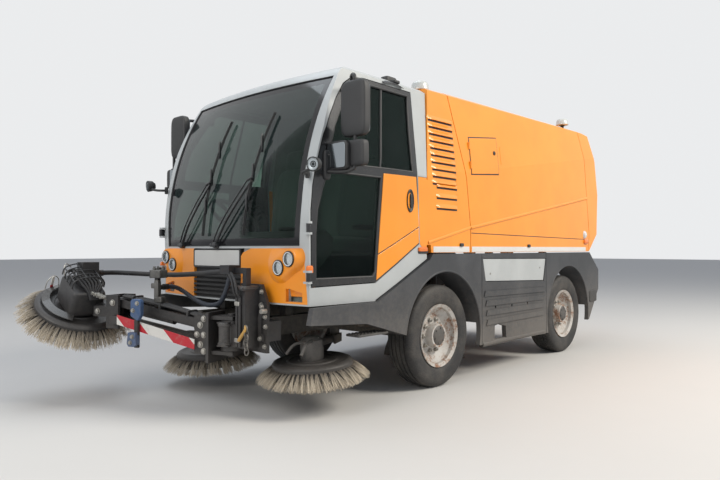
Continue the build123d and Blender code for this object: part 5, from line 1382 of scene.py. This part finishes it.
@dataclass
class Body:
    """What stands on the engine cover, the hopper and the tailgate."""

    half: float = BODY_HALF
    front: float = -300.0
    length: float = 3300.0
    crease: tuple[float, float] = (1541.0, 2040.0)
    top_half: tuple[float, float] = (777.0, 826.0)
    top: tuple[float, float] = (2207.0, 2260.0)
    foot_film: tuple[float, float] = (1006.0, 1049.0)
    louvre_rows: int = 10
    louvre_top: float = 1996.0
    louvre_low: float = 1521.0
    louvre_height: float = 34.0
    louvre_depth: float = 15.0
    louvre_end: float = 14.0
    hatch_start: float = 384.0
    hatch_length: float = 414.0
    hatch_low: float = 1625.0
    hatch_height: float = 288.0
    hatch_rise: float = 36.0
    hatch_spread: float = 14.0
    hatch_gap: float = 8.0
    lock_place: tuple[float, float] = (745.0, 1830.0)
    hinge_y: float = 372.0
    hinge_half: float = 28.0

    def side_at(self, y: np.ndarray, z: np.ndarray) -> np.ndarray:
        """The body side's x: upright up to the crease, which rises to the rear, and leaning in above it."""
        run = (np.asarray(y, float) - self.front) / self.length
        crease, top_half, top = (first + run * (last - first)
                                 for first, last in (self.crease, self.top_half, self.top))
        lean = (np.asarray(z, float) - crease).clip(0) / (top - crease)
        return self.half - lean * (self.half - top_half)

    def louvres(self) -> None:
        """Pressed louvres: each a hood that stands out at its lower edge over a slot, with a dark sheet in the
        slot as painted shade.

        A hood stands out by its depth * sin(pi / 2 * t^1.6), where t runs from 0 at its top to 1 at its foot,
        and runs out evenly at both ends.
        """
        hoods, slot_shades = [], []
        rows = [(z, -146, 168) for z in np.linspace(self.louvre_top, self.louvre_low, self.louvre_rows)]
        rows += [(z, -97, 180) for z in np.linspace(1496, 1341, 3)]
        for z, y0, y1 in rows:
            y = np.linspace(y0, y1, 14)[:, None]
            t = np.linspace(0, 1, 8)[None, :]
            height = z + 26 - self.louvre_height * t
            ends = np.minimum(1.0, np.minimum(y - y0, y1 - y) / self.louvre_end)
            x = self.side_at(y, height) + self.louvre_depth * (np.sin(np.pi * t**1.6 / 2) * ends)
            hoods.append(sheet_of(np.stack(np.broadcast_arrays(x, y, height), -1), (-2, 0, 0)))
            # Painted shade: a dark sheet just inside the face fills the opening under each hood.
            slot_y = np.linspace(y0 + 6, y1 - 6, 3)[:, None]
            slot_z = z - 8 + np.array([0.0, -13.0])[None, :]
            x = self.side_at(slot_y, slot_z) + 1.2
            slot_shades.append(sheet_of(np.stack(np.broadcast_arrays(x, slot_y, slot_z), -1), (-3, 0, 0)))
        put("louvre_hoods", joined(hoods).both(), Look.ORANGE, sharp=60)
        put("louvre_slot_shade", joined(slot_shades).both(), Look.TRIM)

    def stripes(self) -> None:
        """The pale reflective film along the body's foot."""
        for name, body, y0, y1 in (("cover", "chassis", -134.0, 345.0), ("hopper", "hopper", 384.0, 2603.0)):
            film = side_plate(rectangle(y0, y1, *self.foot_film, 3), self.half - 0.5, self.half + 1.5)
            put(f"{name}_stripe", film.both(), Look.WHITE, body)

    def patch(self, y: np.ndarray, z: np.ndarray, lift: float, thickness: float) -> Shape:
        """A sheet on the body's side through a grid of (y, z)."""
        y, z = np.broadcast_arrays(y, z)
        return sheet_of(np.stack((self.side_at(y, z) + lift, y, z), -1), (-thickness, 0, 0))

    def hatch(self) -> None:
        """The service hatch in the hopper's side with a dark band of painted shade in its gap, two hinges, a
        lock and the catch beside it.
        """
        s, t = np.linspace(0, 1, 12)[:, None], np.linspace(0, 1, 12)[None, :]
        slope = (self.hatch_rise + self.hatch_spread * t) * s
        z = self.hatch_low + self.hatch_height * t + slope
        door = self.patch(self.hatch_start + self.hatch_length * s, z, 5, 8)
        put("hatch_door", door.both(), Look.ORANGE, "hopper", bevel=2.5)
        # Painted shade: a dark sheet behind the door shows round its edge as the shadowed gap.
        wide, high = self.hatch_length + 2 * self.hatch_gap, self.hatch_height + 2 * (self.hatch_gap + 1)
        z = self.hatch_low - self.hatch_gap - 1 + high * t + slope
        gap_shade = self.patch(self.hatch_start - self.hatch_gap + wide * s, z, 1, 4)
        put("hatch_gap", gap_shade.both(), Look.TRIM, "hopper")
        lock_x = self.side_at(*self.lock_place)
        lock = lathe([(0, 9), (10, 9), (17, 7), (18, 0), (0, 0)], (lock_x + 3, *self.lock_place), X_AXIS, 24)
        lock += bolt(X_AXIS, 5.0, 5.0).at([(lock_x + 9, *self.lock_place)])
        put("hatch_lock", lock.both(), Look.TRIM, "hopper")
        hinges = []
        for z in (1695, 1850):
            x = self.side_at(self.hinge_y, z) + 6
            ends = [(x, self.hinge_y, z + reach) for reach in (-self.hinge_half, self.hinge_half)]
            hinges.append(bar(*ends, 8, 12))
        put("hatch_hinges", joined(hinges).both(), Look.ORANGE, "hopper")
        slot = self.patch(848 + 22 * s, 1745 + 150 * t + 10 * s, 3, 5)
        put("hatch_catch", slot.both(), Look.ORANGE, "hopper", bevel=2.0)

    def creases(self) -> None:
        """The pressed lines that rise along the lower side, and the seam above the film."""
        y = np.linspace(366, 2640, 60)[:, None]
        ridge = np.linspace(-1, 1, 9)[None, :]
        z = 1203 + (y - 408) * (1568 - 1201) / (2661 - 408) + 17 * ridge
        lift = 14 * (1 - ridge**2) * np.minimum(1, 0.3 + 0.7 * (ridge < 0.3))
        x = self.side_at(y, z) + lift - 1
        line = sheet_of(np.stack(np.broadcast_arrays(x, y, z), -1), (-3, 0, 0))
        put("hopper_crease", line.both(), Look.ORANGE, "hopper", sharp=70)
        y = np.linspace(-196, 362, 30)[:, None]
        z = 1076 + (y + 196) * (1196 - 1076) / 558 + 15 * ridge
        x = self.side_at(y, z) + 8 * (1 - ridge**2) - 1
        line = sheet_of(np.stack(np.broadcast_arrays(x, y, z), -1), (-3, 0, 0))
        put("cover_crease", line.both(), Look.ORANGE, sharp=70)
        seam = side_plate([(376, 1153), (2650, 1127), (2650, 1133), (376, 1159)], self.half - 1,
                          self.half + 0.8)
        put("hopper_seam", seam.both(), Look.TRIM, "hopper")

    def markers(self) -> None:
        """The small side lamps, the amber one behind the door, the rear lamps and their corner boxes."""
        box = soft_box(HERE, (9, 22, 13), 0.4, 9, 20)
        for name, body, y, z in (("cover", "chassis", 232, 1062), ("hopper", "hopper", 1330, 1058)):
            put(f"side_marker_{name}", box.moved((self.half + 5, y, z)).both(), Look.TRIM, body)
        amber = soft_box((self.half + 2, -268, 1028), (12, 52, 16), 0.35, 9, 24)
        put("amber_markers", amber.both(), Look.AMBER)
        base = soft_box((self.half - 4, -262, 1010), (12, 58, 13), 0.35, 9, 24)
        put("amber_marker_feet", base.both(), Look.TRIM)
        dome = lathe([(0, 26), (20, 24), (30, 14), (34, 0), (0, 0)], HERE, X_AXIS, 28).scaled((1, 1, 1.3))
        place = np.array((self.half - 4, 2572, 1178.0))
        put("side_light_domes", dome.moved(place).both(), Look.LAMP, "hopper")
        low = soft_box((self.half - 2, 2600, 1108), (20, 48, 26), 0.4, 9, 24)
        put("side_light_ambers", low.both(), Look.AMBER, "hopper")
        clusters = (("outer", 760, Look.AMBER), ("middle", 660, Look.RED), ("inner", 560, Look.LAMP))
        for name, x, look in clusters:
            rear = lathe([(0, 14), (30, 12), (42, 4), (44, 0), (0, 0)], (x, 2868, 540), Y_AXIS, 32)
            put(f"rear_lamp_{name}", rear.both(), look)
        box_lamp = soft_box((self.half + 2, 2735, 530), (28, 96, 62), 0.25, 13, 32)
        put("corner_boxes", box_lamp.both(), Look.TRIM)

    def beacons(self) -> None:
        """Two turning beacons: a pale ribbed dome over a grey foot."""
        dome = [(0, 34), (34, 32), (56, 22), (66, 6), (68, -20), (70, -24), (70, -36), (60, -40), (0, -40)]
        cab = lathe([(r * 1.02, h * 1.04 + 42) for r, h in dome], (640, -15, 2242), Z_AXIS, 40)
        put("cab_beacon_dome", cab, Look.BEACON, replaces=["cab_beacon"])
        foot = lathe([(0, -44), (46, -40), (50, 2), (62, 4), (62, 8), (0, 8)], (640, -15, 2242), Z_AXIS, 32)
        put("cab_beacon_foot", foot, Look.MOULDING, "chassis")
        rear = lathe([(r * 0.91, h * 0.94) for r, h in dome], (690, 2400, 2367), Z_AXIS, 40)
        put("hopper_beacon_dome", rear, Look.BEACON, "hopper", replaces=["hopper_beacon"])
        post = lathe([(0, 0), (26, 0), (26, 10), (16, 16), (16, 62), (30, 72), (0, 72)], (690, 2400, 2255),
                     Z_AXIS, 24)
        put("hopper_beacon_post", post, Look.TRIM, "hopper")

    def dress(self) -> None:
        """Makes every piece of the body."""
        self.louvres()
        self.stripes()
        self.hatch()
        self.creases()
        self.markers()
        self.beacons()


@dataclass
class Flanks:
    """The lower sides: the screws and arch edges, and the steps."""

    face: float = 870.0
    arch_radius: float = 484.0
    step_top: float = 486.0
    stud_pitch: tuple[float, float] = (26.0, 34.0)

    def screws(self) -> None:
        """The screws of the side panels, and the tube's open ends: a rim round a dark disc of painted shade.
        """
        heads = bolt(X_AXIS, 6.0, 4.0).at([(self.face - 6, 640, 828), (self.face - 6, 1520, 858)])
        put("panel_screws", heads.both(), Look.ZINC)
        # The rim is the tube's end; the dark disc 3 mm inside it is painted shade in the open tube.
        rim_and_shade_disc = lathe([(0, -1), (17, -1), (19, 2), (24.5, 2), (24.5, -4), (0, -4)],
                      (self.face - 20, 518, 262), -Y_AXIS, 24)
        put("tube_mouths", rim_and_shade_disc.both(), Look.TRIM)

    def lips(self) -> None:
        """The thick rolled edges of the wheel arches: tubes along arcs about the axles."""
        parts = []
        for y, first, last in ((0.0, 8.0, 172.0), (WHEELBASE, 8.0, 186.0)):
            angle = np.radians(np.linspace(first, last, 60))
            ring = np.stack((0 * angle + self.face - 7, y + self.arch_radius * np.cos(angle),
                             WHEEL_RADIUS + self.arch_radius * np.sin(angle)), 1)
            parts.append(tube(ring, 10.0, 10))
        put("arch_lips", joined(parts).both(), Look.MOULDING)

    def steps(self) -> None:
        """The door steps: a treaded plate in a dark pocket below each door."""
        plate = prism(rectangle(-950, -660, 0, 120, 10), (745, 0, self.step_top), Y_AXIS, X_AXIS, -14)
        across, along = self.stud_pitch
        studs = [(760 + across * i, -930 + along * j, self.step_top) for i in range(4) for j in range(8)]
        stud = lathe([(0, 5), (7, 4), (9, 0), (0, 0)], HERE, Z_AXIS, 10)
        put("step_plates", (plate + stud.at(studs)).both(), Look.GREY_STEEL, bevel=1.5)

    def dress(self) -> None:
        """Makes every piece of the lower sides."""
        self.screws()
        self.lips()
        self.steps()


# The front broom's arm

@dataclass
class ArmFrame:
    """The arm's own directions: along it from the swing axis, and across it towards the front."""

    swing: tuple[float, float] = SWING_AXIS
    broom: tuple[float, float, float] = FRONT_BROOM

    @property
    def along(self) -> np.ndarray:
        """The direction from the swing axis to the broom."""
        return unit((self.broom[0] - self.swing[0], self.broom[1] - self.swing[1], 0.0))

    @property
    def across(self) -> np.ndarray:
        """The direction across the arm, up crossed with along."""
        return np.cross(Z_AXIS, self.along)

    def place(self, along: float, across: float, z: float) -> np.ndarray:
        """A place given along the arm, across it and by its height."""
        return np.array((*self.swing, 0.0)) + along * self.along + across * self.across + z * Z_AXIS

    def carry(self, shape: Shape) -> Shape:
        """A shape built along x, across y and up z, carried onto the arm."""
        return shape.framed((*self.swing, 0.0), self.along, Z_AXIS)


@dataclass
class Hose:
    """One free hose between the carrier's block and the arm: a tube along a smooth line, wound or plain."""

    name: str
    points: tuple[tuple[float, float, float], ...]
    diameter: float
    length: float
    look: Look
    wound: bool
    arm: ArmFrame = field(default_factory=ArmFrame)
    wrap_height: float = 1.3
    wrap_pitch: float = 13.0

    def line(self) -> bpy.types.Object:
        """The route as a curve with no thickness, whose control points are the route's own."""
        data = bpy.data.curves.new(f"{self.name}_line", "CURVE")
        data.dimensions = "3D"
        spline = data.splines.new("NURBS")
        spline.points.add(len(self.points) - 1)
        places = metres(np.array([self.arm.place(*point) for point in self.points]))
        weighted = np.hstack((places, np.ones((len(places), 1))))
        spline.points.foreach_set("co", weighted.astype(np.float32).ravel())
        spline.order_u = 3
        spline.use_endpoint_u = True
        spline.resolution_u = 40
        return bpy.data.objects.new(f"{self.name}_line", data)

    def along(self) -> np.ndarray:
        """Places along the curve in layout millimetres, read from its mesh."""
        mesh = bpy.data.meshes.new_from_object(self.line())
        places = np.empty(len(mesh.vertices) * 3, np.float32)
        mesh.vertices.foreach_get("co", places)
        return (places.reshape(-1, 3) - ORIGIN) / MILLIMETRE

    def dress(self) -> None:
        """The wrap swells the radius by its height * cos of the turns, one turn to each pitch.
        """
        path = self.along()
        steps = np.concatenate(([0.0], np.cumsum(np.linalg.norm(np.diff(path, axis=0), axis=1))))
        fine = np.linspace(0, steps[-1], 400)
        path = np.stack([np.interp(fine, steps, path[:, k]) for k in range(3)], 1)
        swell = self.wrap_height * np.cos(2 * np.pi * fine / self.wrap_pitch) if self.wound else 0.0 * fine
        radius = self.diameter / 2 - self.wrap_height + swell
        piece = put(f"{self.name}_tube", tube(path, radius, 16), self.look, replaces=[self.name], sharp=70)


@dataclass
class FrontMechanism:
    """Bolts, pipes, cylinders, valves and guards of the front broom's arm and its carrier."""

    arm: ArmFrame = field(default_factory=ArmFrame)
    lean: float = FRONT_BROOM_LEAN
    board_span: tuple[float, float] = (190.0, 800.0)
    board_low: float = 415.0
    board_rise: float = 125.0
    board_height: float = 62.0
    guard_radius: float = 238.0
    wire: float = 4.5
    chain_links: int = 6

    def carrier(self) -> None:
        """The carrier's bolt heads, wing bolt, two pipe bends with their clamps, cap, chain and hook."""
        heads = bolt(-Y_AXIS, 12.0, 14.0).at([(510, -1440, 770), (536, -1458, 682), (506, -1440, 690),
                                              (545, -1440, 620), (548, -1440, 560), (516, -1458, 488),
                                              (330, -1440, 450), (350, -1440, 740), (540, -1440, 440)])
        put("carrier_bolts", heads, Look.ZINC)
        wing = lathe([(0, -1478), (14, -1478), (16, -1470), (16, -1440), (0, -1440)], HERE, Y_AXIS, 16)
        put("wing_bolt", wing.at([(548, 0, 655)]), Look.ZINC)
        bends = [pipe([(x, -1556, 736), (x, -1578, 770), (x - 20, -1578, 830), (x - 70, -1560, 870),
                       (x - 118, -1548, 890)], 24, 9, 10) for x in (418.0, 446.0)]
        put("carrier_pipe_bends", joined(bends), Look.HOSE)
        clamps = [soft_box((432, -1567, z), (24, 4, 13), 0.35, 9, 20) for z in (701, 481)]
        put("pipe_clamps", joined(clamps), Look.ZINC)
        cap = soft_box((442, -1503, 797), (50, 66, 10), 0.3, 9, 24)
        put("column_cap", cap, Look.GREY_STEEL)
        links = []
        for i in range(self.chain_links):
            turn = X_AXIS if i % 2 else Y_AXIS
            ring = lathe([(12, -3.5), (16, -3.5), (16, 3.5), (12, 3.5)], (0, 0, 0), turn, 14, closed=True)
            links.append(ring.scaled((1, 1, 1.5)).moved((512 + 4 * (i % 3), -1562, 556 - 27 * i)))
        put("chain_hank", joined(links), Look.DULL_ZINC)
        thin = np.interp(np.linspace(0, 1, 26), (0, 0.5, 1), (11, 10, 6))
        hook = pipe([(446, -1562, 482), (470, -1574, 494), (496, -1576, 520), (518, -1572, 552),
                     (508, -1562, 574)], 26, thin, 10)
        put("chain_hook", hook, Look.YELLOW)

    def swing(self) -> None:
        """The swing bracket's bolts, and the swing cylinder with its two-plate cradle."""
        carry = self.arm.carry
        heads = bolt(Y_AXIS, 15.0, 12.0).at([(150, 82, 600), (150, 82, 500), (150, 82, 400), (200, 82, 500)])
        put("bracket_bolts", carry(heads), Look.ZINC, "swing_bracket")
        body = lathe([(0, 0), (40, 0), (44, 6), (44, 20), (38, 24), (38, 120), (44, 124), (44, 140),
                      (38, 146), (0, 146)], (12, 56, 437), Z_AXIS, 32)
        put("swing_cylinder", carry(body), Look.GREY_STEEL)
        cradle = [soft_box((10, 54, z), (42, 38, 5), 0.2, 9, 24) for z in (440, 580)]
        put("cylinder_cradle", carry(joined(cradle)), Look.BROOM_BLACK)

    def links(self) -> None:
        """The pins' heads, the lift cylinder between the links and the hoses strapped to the upper one."""
        carry = self.arm.carry
        nut = bolt(Y_AXIS, 16.0, 14.0)
        put("root_pin_heads", carry(nut.at([(175, 82, 560), (175, 82, 440)])), Look.ZINC, "swing_bracket")
        put("end_pin_heads", carry(nut.at([(875, 82, 675), (875, 82, 555), (1005, 82, 615)])), Look.ZINC,
            "end_bracket")
        rod = bar((250, 0, 540), (470, 0, 575), 12) + bar((430, 0, 568), (700, 0, 612), 26)
        rod += soft_box((700, 0, 612), (30, 22, 26), 0.5) + soft_box((250, 0, 541), (26, 20, 22), 0.5)
        put("lift_cylinder", carry(rod), Look.GREY_STEEL, "upper_link")
        hoses = []
        s = np.linspace(0, 1, 8)
        for number, shift in enumerate((-30, -14, 2, 18, 32)):
            wave = 6 * np.sin(7 * s + number)
            height = 600 + 115 * s + 12 * np.sin(np.pi * s) + 3 * (number % 2)
            hoses.append(pipe(np.stack((200 + 640 * s, shift + wave, height), 1), 40, 8.5, 8))
        put("strapped_hoses", carry(joined(hoses)), Look.HOSE, "upper_link")
        straps = [soft_box((a, 0, 604 + 0.18 * (a - 200)), (9, 52, 20), 0.3, 9, 20) for a in (300, 520, 740)]
        put("hose_straps", carry(joined(straps)), Look.TRIM, "upper_link")

    def end(self) -> None:
        """The striped board with its upright, the blue bracket, the valve block and the hose fittings."""
        carry = self.arm.carry
        (start, end), low, high = self.board_span, self.board_low, self.board_low + self.board_rise
        face = [(start, low), (end, high), (end, high + self.board_height), (start, low + self.board_height)]
        board = prism(face, (0, 118, 0), X_AXIS, Z_AXIS, 6)
        put("warning_board", carry(board), Look.FILM, "end_bracket", replaces=["warning_bar"], bevel=1)
        upright = soft_box((622, 136, 545), (14, 12, 145), 0.15, 9, 20)
        upright += soft_box((824, 113, 566), (46, 5, 27), 0.15, 9, 20)
        upright += soft_box((856, 100, 566), (13, 18, 27), 0.15)
        put("board_upright", carry(upright), Look.BROOM_BLACK, "end_bracket")
        kite = prism([(574, 612), (598, 576), (654, 604), (654, 700), (640, 712), (586, 712), (574, 700)],
                     (0, 130, 0), X_AXIS, Z_AXIS, 30)
        foot = prism([(602, 424), (620, 410), (664, 410), (677, 430), (668, 500), (610, 500)], (0, 130, 0),
                     X_AXIS, Z_AXIS, 38)
        put("blue_bracket", carry(kite + foot), Look.BLUE, "end_bracket", bevel=2)
        heads = bolt(Y_AXIS, 11.0, 12.0).at([(600, 160, 686), (634, 160, 640), (632, 168, 474),
                                             (648, 168, 436)])
        put("bracket_end_bolts", carry(heads), Look.ZINC, "end_bracket")
        valve = soft_box((562, 6, 868), (44, 38, 27), 0.22) + soft_box((575, 0, 742), (17, 18, 90), 0.3)
        valve += soft_box((548, 8, 700), (30, 26, 20), 0.3) + soft_box((594, 0, 790), (22, 20, 18), 0.3)
        for a, c in ((585, -14), (585, 20), (540, -10)):
            valve += lathe([(0, 0), (11, 0), (11, 14), (8, 16), (8, 26), (0, 26)], (a, c, 891), Z_AXIS, 12)
        put("valve_block", carry(valve), Look.DULL_ZINC, "upper_link")
        fit = joined([lathe([(0, 0), (14, 0), (14, 12), (10, 14), (10, 40), (13, 42), (13, 54), (0, 54)],
                            (940 + 26 * i, 60, 700 + 8 * i), unit((0.3, 0.8, 0.2)), 12) for i in range(4)])
        put("hose_fittings", carry(fit), Look.ZINC, "end_bracket")

    def head(self) -> None:
        """The broom head's box, its wire basket and hoses, the disc's guard, two rods and a lever."""
        axis, side = leaning(self.lean)

        def carry(shape: Shape) -> Shape:
            """A shape built about the spin axis, carried onto the head."""
            return shape.framed(self.arm.broom, side, axis)

        box = soft_box((40, -20, 108), (128, 112, 96), 0.22, 17, 36)
        put("motor_box", carry(box), Look.BROOM_BLACK, "broom_head")
        wires = []
        for shift in (-90, -45, 0, 45, 90):
            arch = [(-120, 150), (-110, 205), (-40, 232), (50, 228), (90, 190), (95, 150)]
            wires.append(pipe([(shift, y, z) for y, z in arch], 26, self.wire, 8))
        for y, z in ((-112, 200), (-40, 232), (50, 228), (92, 185)):
            wires.append(bar((-95, y, z), (95, y, z), self.wire, 8))
        put("hose_basket", carry(joined(wires).moved((0, 0, 50))), Look.BROOM_BLACK, "broom_head")
        rng = np.random.default_rng(5)
        loops = []
        for number in range(7):
            y = -80 + 24 * number
            line = [(-110 + 20 * rng.uniform(), y, 168), (-60, y + 10, 200 + 14 * rng.uniform()),
                    (20, y - 6, 212), (100, y + 12, 196), (150, y * 0.5, 165), (190, y * 0.3, 120)]
            loops.append(pipe(line, 34, 8.0, 8))
        put("head_hoses", carry(joined(loops).moved((0, 0, 46))), Look.HOSE, "broom_head")
        ring = arc(self.guard_radius, np.linspace(np.radians(-170), np.radians(-30), 40), 22)
        guard = np.stack((ring, ring * (0.8, 0.8, 1) + (0, 0, 16)), 1)
        put("disc_guard", carry(sheet_of(guard, (0, 0, 5))), Look.GLOSS_BLACK, "broom_head", bevel=1)
        rod = pipe([(-230, -60, 12), (-236, -70, 70), (-226, -110, 104), (-214, -150, 70), (-204, -160, 12)],
                   40, 3.5, 8)
        rod += pipe([(-150, -40, 60), (-200, -60, 150), (-245, -40, 190), (-262, 10, 150)], 30, 4, 8)
        put("guard_rods", carry(rod), Look.ZINC, "broom_head")
        lever = prism(rectangle(-12, 12, -44, 44, 8), (-215, -118, 62), unit((0.5, -1, 0)), Z_AXIS, 5)
        put("wear_lever", carry(lever), Look.FILM, "broom_head", bevel=1)

    def side_arms(self) -> None:
        """Guard frames and motor bolts above the two side brooms."""
        for side in Side:
            x, y, z = side.broom
            body = f"broom_arm_{side.word}"
            guard = pipe([(700, -1290, z + 66), (690, -1240, z + 128), (640, -1160, z + 132),
                          (600, -1100, z + 120)], 24, 11, 10)
            guard += pipe([(560, -1290, z + 60), (575, -1230, z + 116), (600, -1130, z + 118)], 20, 10, 10)
            put(f"side_guard_{side.word}", guard.on(side), Look.GREY_STEEL, body)
            ring = arc(48, np.linspace(0, 5.0, 6), z + 136) + (x, y, 0)
            put(f"motor_bolts_{side.word}", bolt(Z_AXIS, 9).at(ring).on(side), Look.ZINC, body)

    def dress(self) -> None:
        """Makes every piece of the front broom's mechanism."""
        self.carrier()
        self.swing()
        self.links()
        self.end()
        self.head()
        self.side_arms()


def main() -> None:
    """Builds the room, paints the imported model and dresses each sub-assembly in turn."""
    logging.basicConfig(level=logging.INFO, format="%(name)s %(message)s")
    studio = Studio()
    studio.camera()
    Hose("hose_loop", ((30, -20, 860), (115, -90, 690), (290, -170, 650), (440, -225, 680), (540, -215, 745),
                       (578, -165, 778), (578, -100, 778)), 32.0, 0.79, Look.SPIRAL_HOSE, True).dress()
    Hose("hose_bundle", ((68, -40, 890), (440, -150, 856), (830, -250, 850), (1065, -262, 856),
                         (1145, -190, 862), (1145, -100, 862)), 36.0, 1.21, Look.HOSE, False).dress()
    studio.room()
    shop.paint_nodes()
    for axle, y, ribbed in (("front", 0.0, True), ("rear", WHEELBASE, False)):
        for side in Side:
            Wheel(f"{axle}_{side.word}", side, y, ribbed).dress()
    Broom("front_broom", np.array(FRONT_BROOM), *leaning(FRONT_BROOM_LEAN), 275.0, 388.0, 66, 11).dress()
    dip = np.radians(SIDE_BROOM_DIP)
    for side in Side:
        Broom(f"side_broom_{side.word}", np.array(side.broom) * (side.value, 1, 1),
              np.array((0.0, -np.sin(dip), np.cos(dip))), X_AXIS, 262.0, 374.0, 60, 20 + side.value,
              strands_per_tuft=12).dress()
    Cab().dress()
    for side in Side:
        Door(side).dress()
    Interior().dress()
    Body().dress()
    Flanks().dress()
    FrontMechanism().dress()


if __name__ == "__main__":
    main()
